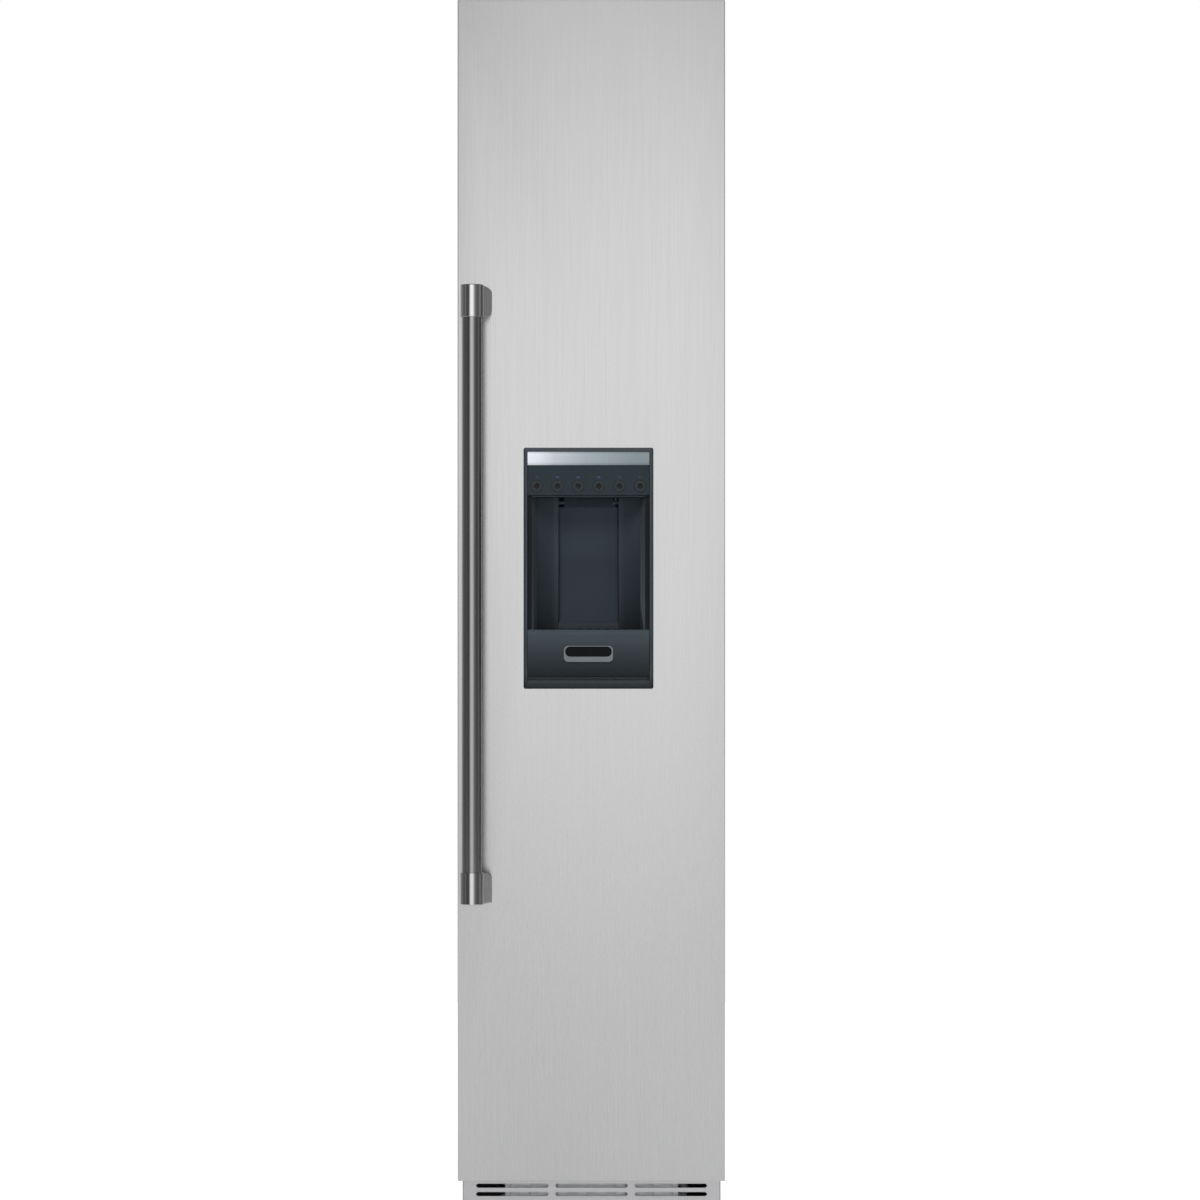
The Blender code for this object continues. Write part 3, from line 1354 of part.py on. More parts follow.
def make_door_liner(door):
    """The moulded inner face: its dyke, the bulge behind the dispenser and the ice inlet."""
    dyke_low = (-DYKE_HALF, CAVITY_FLOOR + DYKE_CLEARANCE)
    dyke_high = (DYKE_HALF, DYKE_TOP)
    back = y_of(SLAB_BACK)
    front = y_of(PLATE_FRONT)
    plate = rounded_rectangle((-SLAB_HALF, SLAB_BOTTOM), (SLAB_HALF, SLAB_TOP), 3 * SHEET)
    liner = prism("door_liner", [plate], "Y", front, back)
    outer = rounded_rectangle(dyke_low, dyke_high, 1.5 * DYKE_WIDTH, 3)
    inner_low = tuple(a + DYKE_WIDTH for a in dyke_low)
    inner_high = tuple(a - DYKE_WIDTH for a in dyke_high)
    inner = rounded_rectangle(inner_low, inner_high, DYKE_WIDTH / 2, 3)
    dyke = prism("liner_dyke", [outer, inner], "Y", back - LINER / 2, back + DYKE_HEIGHT)
    join(liner, soften(dyke, DYKE_WIDTH / 4))
    bump_low = (-BUMP_HALF, front - LINER, BUMP_BOTTOM)
    bump = block("liner_bump", bump_low, (BUMP_HALF, y_of(BUMP_BACK), BUMP_TOP))
    trim_low = (-SLAB_HALF - OVERRUN, front - OVERRUN, SLAB_BOTTOM - OVERRUN)
    trim_high = (SLAB_HALF + OVERRUN, front, SLAB_TOP + OVERRUN)
    join(liner, soften(bump, DYKE_WIDTH / 3))
    inside_low = (-BUMP_HALF + LINER, front - OVERRUN, BUMP_BOTTOM + LINER)
    inside_high = (BUMP_HALF - LINER, y_of(BUMP_BACK) - LINER, BUMP_TOP - LINER)
    cut(liner, block("bump_inside", inside_low, inside_high))
    cut(liner, block("bump_trim", trim_low, trim_high))
    inlet = SPOUT_BORE
    hole = [(0, OVERRUN), (inlet, OVERRUN), (inlet, -OVERRUN), (0, -OVERRUN)]
    cut(liner, turned("liner_inlet", hole, "Y", (DISPENSER_X, y_of(BUMP_BACK), AUGER_Z), 20))
    finish(liner, white_plastic(), door)


def make_gasket(door):
    """The seal: a root strip, a thin bellows and a wider magnet pocket, all one ring."""
    head = 0.014
    neck = 0.005
    layer = 0.0035
    margin = 0.015
    half = SLAB_HALF - margin - head / 2
    low = SLAB_BOTTOM + margin + head / 2
    high = SLAB_TOP - margin - head / 2
    front = y_of(SLAB_BACK) + GAP
    back = y_of(CABINET_FRONT) - GAP
    gasket = None
    spans = (
        (head, front, front + layer),
        (neck, front + layer / 2, back - layer / 2),
        (head, back - layer, back),
    )
    for i, (width, start, end) in enumerate(spans):
        edge = width / 2
        outer = rounded_rectangle((-half - edge, low - edge), (half + edge, high + edge), head + edge)
        inner = rounded_rectangle((-half + edge, low + edge), (half - edge, high - edge), head - edge)
        ring = prism("door_gasket" if i == 0 else f"gasket_layer_{i}", [outer, inner], "Y", start, end)
        if gasket is None:
            gasket = ring
        else:
            join(gasket, ring)
    finish(gasket, rubber(), door)


def make_door_bins(door):
    """Moulded bins hooked between the dykes, each with a bowed front."""
    wall = 0.0025
    bow = 0.018
    lug_depth = 0.024
    front = y_of(SLAB_BACK) + GAP
    back = front + BIN_DEPTH - GAP
    for i, bottom in enumerate(BIN_LEVELS):
        name = f"door_bin_{i + 1}"
        outline = bin_outline(BIN_HALF, front, back, bow)
        inner = bin_outline(BIN_HALF - wall, front + wall, back - wall, bow)
        tub = prism(name, [outline], "Z", bottom, bottom + BIN_HEIGHT)
        lugs = []
        for side in (-1, 1):
            near = side * (BIN_HALF - wall / 2)
            far = side * (DYKE_HALF - DYKE_WIDTH - GAP)
            low = (min(near, far), front, bottom + BIN_HEIGHT / 3)
            high = (max(near, far), front + lug_depth, bottom + BIN_HEIGHT - wall)
            lugs.append((low, high))
        join(tub, blocks(name + "_lugs", lugs))
        cut(tub, prism(name + "_inside", [inner], "Z", bottom + wall, bottom + BIN_HEIGHT + OVERRUN))
        finish(tub, clear_plastic(), door)


def bin_outline(half, front, back, bow):
    """A bin's plan: straight at the door, bowed out into the compartment."""
    radius = (half * half + bow * bow) / (2 * bow)
    reach = math.degrees(math.asin(half / radius))
    curve = arc((0, back - radius), radius, 90 - reach, 90 + reach, 8)
    return curve + [(-half, front), (half, front)]


def make_handle(door):
    """The tube and its two cast end brackets, each a ferrule on a foot set toward the door's middle."""
    top = HANDLE_BOTTOM + HANDLE_LENGTH
    seat = 0.044
    cap = FERRULE_LENGTH - seat
    start = (HANDLE_X, HANDLE_Y, HANDLE_BOTTOM + cap + GAP)
    end = (HANDLE_X, HANDLE_Y, top - cap - GAP)
    finish(rod("handle_tube", [start, end], TUBE_DIAMETER / 2, 28), brushed_steel(), door)
    for name, low, mouth in (
        ("handle_bracket_bottom", HANDLE_BOTTOM, 1),
        ("handle_bracket_top", top - FERRULE_LENGTH, -1),
    ):
        outline = bracket_outline()
        bracket = soften(prism(name, [outline], "Z", low, low + FERRULE_LENGTH), FERRULE_DIAMETER / 20)
        bore_radius = TUBE_DIAMETER / 2 + GAP
        bore_low = low + cap if mouth > 0 else low - OVERRUN
        bore_high = low + FERRULE_LENGTH + OVERRUN if mouth > 0 else low + seat
        bore = [(0, bore_high), (bore_radius, bore_high), (bore_radius, bore_low), (0, bore_low)]
        cut(bracket, turned(name + "_bore", bore, "Z", (HANDLE_X, HANDLE_Y, 0), 28))
        finish(bracket, polished_steel(), door)


def bracket_outline():
    """The bracket's plan: the ferrule's circle with flat flanks down to its offset foot."""
    foot_left = 0.002
    foot_right = 0.0325
    radius = FERRULE_DIAMETER / 2
    face = FACE_Y - GAP
    corners = ((HANDLE_X + foot_right, face), (HANDLE_X - foot_left, face))
    angles = []
    for (x, y), side in zip(corners, (-1, 1)):
        away = Vector((x - HANDLE_X, y - HANDLE_Y))
        lean = math.degrees(math.atan2(away.y, away.x))
        angles.append(lean + side * math.degrees(math.acos(radius / away.length)))
    first, second = angles
    points = arc((HANDLE_X, HANDLE_Y), radius, second - 360, first, 18)
    return points + [corners[0], corners[1]]


def make_dispenser_frame(door):
    """The dark frame round the dispenser, its sleeve in the panel and its chin."""
    lap = FRAME_RIM / 2
    sleeve_depth = 0.0155
    chin_front = 0.001
    chin_back = 0.010
    half = FRAME_WIDTH / 2
    inner_low = (DISPENSER_X - INNER_HALF, INNER_BOTTOM)
    inner_high = (DISPENSER_X + INNER_HALF, INNER_TOP)
    outer = rounded_rectangle((DISPENSER_X - half, FRAME_BOTTOM), (DISPENSER_X + half, FRAME_TOP), FRAME_RIM / 2)
    inner = rounded_rectangle(inner_low, inner_high, SHEET)
    frame = prism("dispenser_frame", [outer], "Y", FACE_Y - FRAME_PROUD, FACE_Y - GAP)
    soften(frame, FRAME_PROUD / 4, 1)
    sleeve_low = (DISPENSER_X - half + lap, FRAME_BOTTOM + lap)
    sleeve_high = (DISPENSER_X + half - lap, FRAME_TOP - lap)
    sleeve = rounded_rectangle(sleeve_low, sleeve_high, lap)
    join(frame, prism("frame_sleeve", [sleeve], "Y", FACE_Y - FRAME_PROUD / 2, y_of(sleeve_depth)))
    cut(frame, prism("frame_opening", [inner], "Y", FACE_Y - OVERRUN, FACE_Y + OVERRUN))
    chin_low = (DISPENSER_X - INNER_HALF - lap / 2, y_of(-chin_front), INNER_BOTTOM - lap / 2)
    chin_high = (DISPENSER_X + INNER_HALF + lap / 2, y_of(chin_back), CHIN_TOP)
    join(frame, block("frame_chin", chin_low, chin_high))
    finish(frame, dark_plastic(), door)


def make_strip_and_fascia(door):
    """The silver strip and, under it, the dark fascia with its round holes for the keys."""
    strip_proud = 0.0015
    strip_back = 0.003
    half = INNER_HALF - GAP
    low = (DISPENSER_X - half, INNER_TOP - STRIP_HEIGHT)
    high = (DISPENSER_X + half, INNER_TOP - GAP)
    outline = rounded_rectangle(low, high, SHEET)
    strip = prism("dispenser_strip", [outline], "Y", y_of(-strip_proud), y_of(strip_back))
    finish(soften(strip, strip_proud / 3, 1), silver_trim(), door)
    low = (DISPENSER_X - half, FASCIA_BOTTOM + GAP)
    high = (DISPENSER_X + half, FASCIA_TOP - GAP)
    outlines = [rounded_rectangle(low, high, SHEET)]
    for x in KEY_PLACES:
        outlines.append(arc((x, KEY_Z), KEY_DIAMETER / 2 + GAP, 0, 337.5, 15))
    finish(prism("control_fascia", outlines, "Y", FACE_Y, y_of(FASCIA_SHEET)), dark_plastic(), door)


def make_keys(door):
    """Six round keys with dished centres, each kept by a flange behind the fascia."""
    proud = 0.0012
    dish_radius = 0.005
    dish = 0.0006
    flange_lap = 0.0015
    flange = 0.0012
    radius = KEY_DIAMETER / 2
    for i, x in enumerate(KEY_PLACES):
        place = (x, y_of(-proud), KEY_Z)
        profile = [
            (0, -dish),
            (dish_radius - dish, -dish),
            (dish_radius, 0),
            (radius, 0),
            (radius, -proud - FASCIA_SHEET - GAP),
            (radius + flange_lap, -proud - FASCIA_SHEET - GAP),
            (radius + flange_lap, -proud - FASCIA_SHEET - GAP - flange),
            (0, -proud - FASCIA_SHEET - GAP - flange),
        ]
        name = f"control_key_{i + 1}"
        finish(turned(name, profile, "Y", place, 14), dark_plastic(), pivot(name + "_slide", place, door))


def niche_loft(name, grow, front, back):
    """The dispenser's tapered recess as a solid, grown by a distance on its sides."""
    half = NICHE_WIDTH / 2 + grow
    back_half = NICHE_BACK_WIDTH / 2 + grow
    slope = (half - back_half) / NICHE_DEPTH
    front_half = half - slope * front
    deep_half = half - slope * back
    low = NICHE_BOTTOM - grow
    high = NICHE_TOP + grow
    x = DISPENSER_X
    return tapered(
        name,
        (y_of(front), x - front_half, x + front_half, low, high),
        (y_of(back), x - deep_half, x + deep_half, low, high),
    )


def make_niche(door):
    """The moulded recess: its front flange, sloped cheeks, tray pocket and paddle ears."""
    ear = 0.0065
    ear_drop = PADDLE_DROP + ear
    half = INNER_HALF - GAP
    low = (DISPENSER_X - half, CHIN_TOP + GAP)
    high = (DISPENSER_X + half, FASCIA_BOTTOM - GAP)
    flange = [rounded_rectangle(low, high, SHEET)]
    niche = prism("niche_housing", flange, "Y", y_of(NICHE_FLANGE), y_of(NICHE_FLANGE) + MOULDING)
    join(niche, niche_loft("niche_outside", MOULDING - 3 * GAP, NICHE_FLANGE + SHEET, NICHE_DEPTH + MOULDING))
    tray_half = TRAY_WIDTH / 2 + GAP
    pocket_back = y_of(TRAY_BACK) + GAP
    pocket_low = (DISPENSER_X - tray_half, y_of(NICHE_FLANGE) - OVERRUN, NICHE_BOTTOM - TRAY_HEIGHT)
    pocket_high = (DISPENSER_X + tray_half, pocket_back, NICHE_BOTTOM + GAP)
    shell_low = (pocket_low[0] - MOULDING, y_of(NICHE_FLANGE) + SHEET, pocket_low[2] - MOULDING)
    shell_high = (pocket_high[0] + MOULDING, pocket_back + MOULDING, pocket_high[2] + MOULDING)
    join(niche, block("pocket_outside", shell_low, shell_high))
    cut(niche, niche_loft("niche_inside", 0, NICHE_FLANGE - OVERRUN, NICHE_DEPTH))
    cut(niche, block("pocket_inside", pocket_low, pocket_high))
    ears = []
    for side in (-1, 1):
        near = DISPENSER_X + side * (PADDLE_WIDTH / 2 + SHEET)
        far = near + side * ear
        ear_low = (min(near, far), PADDLE_Y - ear, NICHE_TOP - ear_drop)
        ears.append((ear_low, (max(near, far), PADDLE_Y + ear, NICHE_TOP + MOULDING / 2)))
    join(niche, blocks("paddle_ears", ears))
    hole = PADDLE_PIN / 2 + GAP
    reach = PADDLE_WIDTH / 2 + SHEET + ear + SHEET
    profile = [(0, reach), (hole, reach), (hole, -reach), (0, -reach)]
    cut(niche, turned("ear_holes", profile, "X", (DISPENSER_X, PADDLE_Y, PADDLE_Z), 16))
    mouth_low = (DISPENSER_X - CHUTE_WIDTH / 2 + MOULDING, y_of(CHUTE_FRONT) + MOULDING, NICHE_TOP - MOULDING)
    mouth_high = (
        DISPENSER_X + CHUTE_WIDTH / 2 - MOULDING,
        y_of(CHUTE_FRONT) + CHUTE_MOUTH - MOULDING,
        NICHE_TOP + OVERRUN,
    )
    cut(niche, block("niche_mouth", mouth_low, mouth_high))
    radius = NOZZLE_RADIUS + GAP
    hole = [(0, OVERRUN), (radius, OVERRUN), (radius, -MOULDING), (0, -MOULDING)]
    cut(niche, turned("nozzle_hole", hole, "Z", (NOZZLE_X, NOZZLE_Y, NICHE_TOP), 12))
    finish(niche, dark_plastic(), door)


def chute_outline():
    """The chute's side section: an inlet chamber at the back that narrows to the mouth below."""
    bottom = NICHE_TOP + MOULDING + GAP
    front = y_of(CHUTE_FRONT)
    back = y_of(BUMP_BACK) - LINER - GAP
    knee_share = 0.42
    lower_share = 0.45
    shoulder_share = 0.4
    knee = bottom + (CHUTE_TOP - bottom) * knee_share
    lower = bottom + (CHUTE_TOP - bottom) * lower_share
    return [
        (front, bottom),
        (front + CHUTE_MOUTH, bottom),
        (back, lower),
        (back, CHUTE_TOP),
        (front + (back - front) * shoulder_share, CHUTE_TOP),
        (front, knee),
    ]


def make_chute(door):
    """The ice chute through the door."""
    half = CHUTE_WIDTH / 2
    outer = chute_outline()
    inner = offset(outer, -MOULDING)
    chute = prism("ice_chute", [outer], "X", DISPENSER_X - half, DISPENSER_X + half)
    inside = half - MOULDING
    cut(chute, prism("chute_inside", [inner], "X", DISPENSER_X - inside, DISPENSER_X + inside))
    mouth_low = (DISPENSER_X - inside, outer[0][0] + MOULDING, outer[0][1] - OVERRUN)
    mouth_high = (DISPENSER_X + inside, outer[1][0] - MOULDING, outer[0][1] + 2 * MOULDING)
    cut(chute, block("chute_mouth", mouth_low, mouth_high))
    inlet = [(0, 2 * MOULDING), (SPOUT_BORE, 2 * MOULDING), (SPOUT_BORE, -OVERRUN), (0, -OVERRUN)]
    cut(chute, turned("chute_inlet", inlet, "Y", (DISPENSER_X, outer[2][0], AUGER_Z), 20))
    finish(chute, white_plastic(), door)


def make_flap(door):
    """The insulated flap that shuts the chute's inlet, hung from its top edge."""
    shaft = 0.0022
    sheet = 0.0024
    drop = 0.058
    place = (DISPENSER_X, FLAP_Y, FLAP_Z)
    inside = CHUTE_WIDTH / 2 - MOULDING - GAP
    profile = [(0, inside), (shaft, inside), (shaft, -inside), (0, -inside)]
    flap = turned("chute_flap", profile, "X", place, 10)
    low = (DISPENSER_X - inside + GAP, FLAP_Y - sheet / 2, FLAP_Z - drop)
    high = (DISPENSER_X + inside - GAP, FLAP_Y + sheet / 2, FLAP_Z)
    join(flap, block("flap_plate", low, high))
    finish(flap, white_plastic(), pivot("chute_flap_axis", place, door))


def make_paddle(door):
    """The dispensing paddle: a flat pad with a turned-up toe, ribbed behind, on its pivot bar."""
    sheet = 0.004
    rib = 0.005
    toe = 0.006
    lip_share = 0.7
    rib_share = 0.6
    place = (DISPENSER_X, PADDLE_Y, PADDLE_Z)
    bottom = NICHE_BOTTOM + PADDLE_FOOT
    half = PADDLE_WIDTH / 2
    section = [
        (PADDLE_Y - toe, bottom),
        (PADDLE_Y - toe + sheet * lip_share, bottom - sheet * lip_share),
        (PADDLE_Y + sheet / 2, bottom + toe),
        (PADDLE_Y + sheet / 2, PADDLE_Z),
        (PADDLE_Y - sheet / 2, PADDLE_Z),
        (PADDLE_Y - sheet / 2, bottom + toe),
    ]
    paddle = prism("paddle", [section], "X", DISPENSER_X - half, DISPENSER_X + half)
    for side in (-1, 1):
        middle = DISPENSER_X + side * half * rib_share
        low = (middle - rib / 4, PADDLE_Y, bottom + toe)
        join(paddle, block(f"paddle_rib_{side}", low, (middle + rib / 4, PADDLE_Y + sheet / 2 + rib, PADDLE_Z - toe)))
    reach = half + 2 * SHEET + rib
    radius = PADDLE_PIN / 2
    profile = [(0, reach), (radius, reach), (radius, -reach), (0, -reach)]
    join(paddle, turned("paddle_bar", profile, "X", place, 12))
    finish(paddle, dark_plastic(), pivot("paddle_axis", place, door))


def make_nozzle(door):
    """The water nozzle beside the chute's mouth."""
    drop = 0.006
    rise = 0.016
    flange = 0.0015
    bore_share = 0.55
    tip_share = 0.8
    radius = NOZZLE_RADIUS
    top = MOULDING + GAP + rise
    profile = [
        (radius * bore_share, top),
        (radius, top),
        (radius, MOULDING + GAP + flange),
        (radius + flange, MOULDING + GAP + flange),
        (radius + flange, MOULDING + GAP),
        (radius, MOULDING + GAP),
        (radius, 0),
        (radius * tip_share, -drop),
        (radius * bore_share, -drop),
    ]
    nozzle = turned("water_nozzle", profile, "Z", (NOZZLE_X, NOZZLE_Y, NICHE_TOP), 12, ring=True)
    finish(nozzle, silver_trim(), door)


def make_tray(door):
    """The pull-out drip tray with its bulged front, and the slotted grille in it."""
    wall = 0.002
    bulge = 0.013
    slot_count = 11
    slot_width = 0.008
    grille_sheet = 0.002
    carrier = pivot("drip_tray_slide", (DISPENSER_X, FACE_Y, NICHE_BOTTOM), door)
    half = TRAY_WIDTH / 2
    front = y_of(NICHE_FLANGE) - GAP
    floor = NICHE_BOTTOM - TRAY_HEIGHT + GAP
    top = NICHE_BOTTOM - GAP
    back = y_of(TRAY_BACK) - GAP
    sill_low = CHIN_TOP + SILL_GAP
    height = top - sill_low
    radius = (height * height / 4 + bulge * bulge) / (2 * bulge)
    reach = math.degrees(math.asin(height / 2 / radius))
    centre = (front - bulge + radius, (top + sill_low) / 2)
    section = arc(centre, radius, 180 - reach, 180 + reach, 8)
    section = [(front, top)] + section[1:-1] + [(front, sill_low)]
    sill_half = INNER_HALF - GAP
    tray = prism("drip_tray", [section[::-1]], "X", DISPENSER_X - sill_half, DISPENSER_X + sill_half)
    pan_low = (DISPENSER_X - half, front - wall, floor)
    join(tray, block("tray_pan", pan_low, (DISPENSER_X + half, back, top)))
    inner_low = (DISPENSER_X - half + wall, front + wall, floor + wall)
    inner_high = (DISPENSER_X + half - wall, back - wall, top + OVERRUN)
    cut(tray, block("tray_inside", inner_low, inner_high))
    finish(tray, dark_plastic(), carrier)
    low = (inner_low[0] + GAP, inner_low[1] + GAP)
    high = (inner_high[0] - GAP, inner_high[1] - GAP)
    outlines = [rounded_rectangle(low, high, wall / 2)]
    pitch = (high[0] - low[0] - slot_width) / slot_count
    for i in range(slot_count):
        x = low[0] + slot_width + i * pitch
        corner = (x, low[1] + slot_width)
        outlines.append(rounded_rectangle(corner, (x + pitch - slot_width, high[1] - slot_width), wall / 2, 1))
    grille = prism("tray_grille", outlines, "Z", top - grille_sheet, top)
    finish(grille, dark_plastic(), carrier)


clear_scene()
PARTS = new_collection("column_freezer")
CUTTERS = new_collection("cutters")

make_outer_wrapper()
make_insulation()
make_liner()
make_back_panel()
make_machine_cover()
make_inlets()
make_base_frame()
make_feet()
make_toe_grille()
make_hinge_plates()
make_compressor()
make_condenser()
make_evaporator()
make_condenser_fan()
make_evaporator_cover()
make_evaporator_fan()
make_drain_pan()
make_shelves()
make_ice_maker()
make_ice_container()
make_auger()
LOWER = pivot("drawer_lower_slide", (0, y_of(DRAWER_FRONT), LOWER_DRAWER_BOTTOM))
UPPER = pivot("drawer_upper_slide", (0, y_of(DRAWER_FRONT), UPPER_DRAWER_BOTTOM))
make_drawer("drawer_lower", LOWER_DRAWER_BOTTOM, LOWER_DRAWER_TOP, STEP_FRONT - DRAWER_CLEARANCE, LOWER)
make_drawer("drawer_upper", UPPER_DRAWER_BOTTOM, UPPER_DRAWER_TOP, COVER_FRONT - DRAWER_CLEARANCE, UPPER)

DOOR = pivot("door_axis", (HINGE_X, HINGE_Y, SLAB_BOTTOM))
make_door_panel(DOOR)
make_door_core(DOOR)
make_door_shell(DOOR)
make_bushes(DOOR)
make_door_liner(DOOR)
make_gasket(DOOR)
make_door_bins(DOOR)
make_handle(DOOR)
make_dispenser_frame(DOOR)
make_strip_and_fascia(DOOR)
make_keys(DOOR)
make_niche(DOOR)
make_chute(DOOR)
make_flap(DOOR)
make_paddle(DOOR)
make_nozzle(DOOR)
make_tray(DOOR)
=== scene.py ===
"""Looks of the built-in column freezer: finishes, the smooth pieces of its front, studio and camera.

Metres, in the row frame: +Z up, the front faces -Y. Places come from the CAD nodes' boxes.
"""

import json
import math

import bmesh
import bpy
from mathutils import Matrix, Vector

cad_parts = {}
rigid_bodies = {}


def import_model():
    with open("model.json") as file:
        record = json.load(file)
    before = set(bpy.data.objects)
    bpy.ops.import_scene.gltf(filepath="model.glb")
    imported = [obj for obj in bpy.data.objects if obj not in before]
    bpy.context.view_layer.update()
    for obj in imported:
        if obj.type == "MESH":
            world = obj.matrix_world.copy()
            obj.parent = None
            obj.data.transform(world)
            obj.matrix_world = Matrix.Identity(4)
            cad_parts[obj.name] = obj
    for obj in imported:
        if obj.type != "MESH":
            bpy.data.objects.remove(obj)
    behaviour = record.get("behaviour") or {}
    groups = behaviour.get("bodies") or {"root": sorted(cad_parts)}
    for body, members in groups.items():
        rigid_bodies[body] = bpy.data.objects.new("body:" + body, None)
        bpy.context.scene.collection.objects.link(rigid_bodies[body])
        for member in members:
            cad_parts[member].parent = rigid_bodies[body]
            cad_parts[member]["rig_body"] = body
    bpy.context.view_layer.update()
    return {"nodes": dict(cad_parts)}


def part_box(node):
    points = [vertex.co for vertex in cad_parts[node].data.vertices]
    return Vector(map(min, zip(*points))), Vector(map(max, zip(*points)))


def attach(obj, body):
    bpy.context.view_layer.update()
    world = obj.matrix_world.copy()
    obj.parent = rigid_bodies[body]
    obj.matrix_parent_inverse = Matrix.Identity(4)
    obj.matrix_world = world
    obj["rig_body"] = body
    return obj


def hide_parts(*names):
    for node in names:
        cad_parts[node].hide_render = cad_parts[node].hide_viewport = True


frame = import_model()
NODES = frame["nodes"]

# What the photograph's frame spans on the plane of the door's face, and how far off the camera stands
VIEW_SPAN = 2.023
VIEW_X = 0.0146
VIEW_Z = 1.1157
VIEW_DISTANCE = 6.0
SENSOR_MM = 36.0

# Clearances and rounds that many pieces share, and how finely shapes are made
SKIN = 0.0002
LIP = 0.0012
MERGE = 0.00002
FLAT_DEGREES = 1.0
SMOOTH_DEGREES = 35.0
ROUND_STEPS = 96
CORNER_STEPS = 8
# A width over this is the round of an end that is all but a half circle
ROUND_END_PARTS = 2.1

# Handle; a hold is a short straight run beside a round that keeps the round's shading to itself
TUBE_RADIUS = 0.017
FERRULE_RADIUS = 0.020
FERRULE_ROUND = 0.0014
FERRULE_MOUTH = 0.0003
FERRULE_HOLD = 0.0004
FOOT_LEFT = 0.002
FOOT_RIGHT = 0.0325
FOOT_MARGIN = 0.0015
FOOT_CUTS = 9
FOOT_STEPS = 32
FOOT_EASE = 0.98
# Its brackets: node, which way is outward, and how far the foot's upper and lower ends draw in
BRACKETS = (
    ("handle_bracket_bottom", -1, 0.0165, -0.002),
    ("handle_bracket_top", 1, 0.009, 0.0145),
)

# Door panel
PANEL_EDGE = 0.0013
RETURN_GAP = 0.0013
RETURN_SHEET = 0.0004

# Frame of the dispenser and its chin
RIM_PROUD = 0.0027
RIM_WIDTH = 0.0065
CHIN_RISE = 0.0145
CHIN_FACE = 0.0072
CHIN_RECESS = 0.006
# The rim with its sleeve: how far in from the outside, and how far behind the crest
RIM_PROFILE = (
    (0.0, 0.0027), (0.0, 0.0022), (0.0006, 0.0016), (0.0030, 0.0004), (0.0045, 0.0),
    (0.0058, 0.0), (0.0065, 0.0006), (0.0065, 0.0185), (0.00325, 0.0185), (0.00325, 0.0027),
)

# Silver strip
CROWN_PARTS = 9
CROWN_POWER = 4
CROWN_STEPS = 14

# Keys, and the lenses over them
KEY_COUNT = 6
KEY_RADIUS = 0.0095
KEY_CLEARANCE = 0.0003
KEY_EDGE = 0.0006
KEY_RING = 0.0024
KEY_GROOVE = 0.0004
KEY_SHOULDER = 0.0012
KEY_STEPS = 6
DISH_RADIUS = 0.0050
DISH_DEPTH = 0.0006
# The dish from its edge to its middle, in shares of its radius and depth
DISH_PROFILE = ((0.88, 1.0), (0.5, 1.4), (0.0, 1.6))
LENS_WIDTH = 0.0062
LENS_HEIGHT = 0.0026
LENS_RISE = 0.0150
LIT_KEYS = (1, 2, 3)

# Drip tray
SILL_DROP = 0.0035
SILL_STEPS = 6
TRAY_WALL = 0.002
TRAY_CORNER = 0.006
TRAY_DEPTH = 0.0194
# Its bulged front from top to foot: how far behind the foremost line, and share of the height
SILL_PROFILE = (
    (0.0130, 1.0), (0.0098, 0.991), (0.0058, 0.957), (0.0028, 0.895), (0.0011, 0.814),
    (0.0005, 0.727), (0.0007, 0.615), (0.0017, 0.465), (0.0037, 0.278), (0.0063, 0.115),
    (0.0081, 0.034), (0.0098, 0.005), (0.0130, 0.0),
)

# Bare plate on the tray's front
PLATE_WIDTH = 0.083
PLATE_TOP_DROP = 0.0272
PLATE_HEIGHT = 0.0272
PLATE_BAR = 0.0088
PLATE_SIDE = 0.0024
PLATE_RIM = 0.0014
PLATE_THICKNESS = 0.0042
PLATE_LEAN = 0.06

# Paddle
PADDLE_TOE = 0.006
PADDLE_BAR = 0.003
PADDLE_SHEET = 0.004
PADDLE_NECK = 0.0076
NECK_LEFT = 0.009
NECK_RIGHT = 0.005
BAR_STEPS = 32

# Lining of the recess
SEAL_WIDTH = 0.0074
CHEEK_INNER = 0.0510
CHEEK_CLEAR = 0.0030
CHEEK_SHEET = 0.0010
CHEEK_RETURN = 0.0375
CHEEK_LIFT = 0.0006
CHEEK_DROP = 0.0034
CHEEK_STEPS = 5
COVER_HALF = 0.0417
COVER_RISE = 0.0010
KERB_HEIGHT = 0.0102
# A cheek in plan: share of the way from the opening to the paddle, and share of the depth
CHEEK_PROFILE = (
    (0.0, 0.12), (0.10, 0.28), (0.30, 0.56), (0.55, 0.79), (0.80, 0.95), (1.0, 1.0),
)

# Edges in finishes: samples of the bevel, and how true a bevelled normal is where rubbed and where clean
BEVEL_SAMPLES = 4
RUBBED_DOT = 0.86
CLEAN_DOT = 0.995

# Painted light and shade: shares of the colour at the low and the high end of finishes painted darker low and
# lighter high, as if lit from above
FRAME_PAINTED_SHADING = (0.2, 1.0)
FRAME_SHADED_RIMS = 4
SILL_PAINTED_SHADING = (0.25, 2.1)
CHEEK_PAINTED_SHADING = (0.55, 1.8)
PADDLE_PAINTED_SHADING = (0.8, 2.3)

# What makes the dispenser's plastics gloss faintly and coolly
COOL = {"Specular IOR Level": 0.32, "Specular Tint": (0.80, 0.92, 1.0, 1)}

# Screws
SCREW_RADIUS = 0.0042
SCREW_RISE = 0.0016
SCREW_SHOULDER = 0.86
SCREW_CROWN = 0.6
SCREW_SOCKET = 0.0017
SOCKET_TAPER = 0.8
SCREW_STEPS = 20
SCREW_PITCH = 0.24
SCREW_MARGIN = 0.007
HINGE_SCREWS = (0.3, 0.75)

# Shelf trims
SHELF_COUNT = 3
TRIM_LAP = 0.012
TRIM_LIP = 0.002
TRIM_INSET = 0.0085

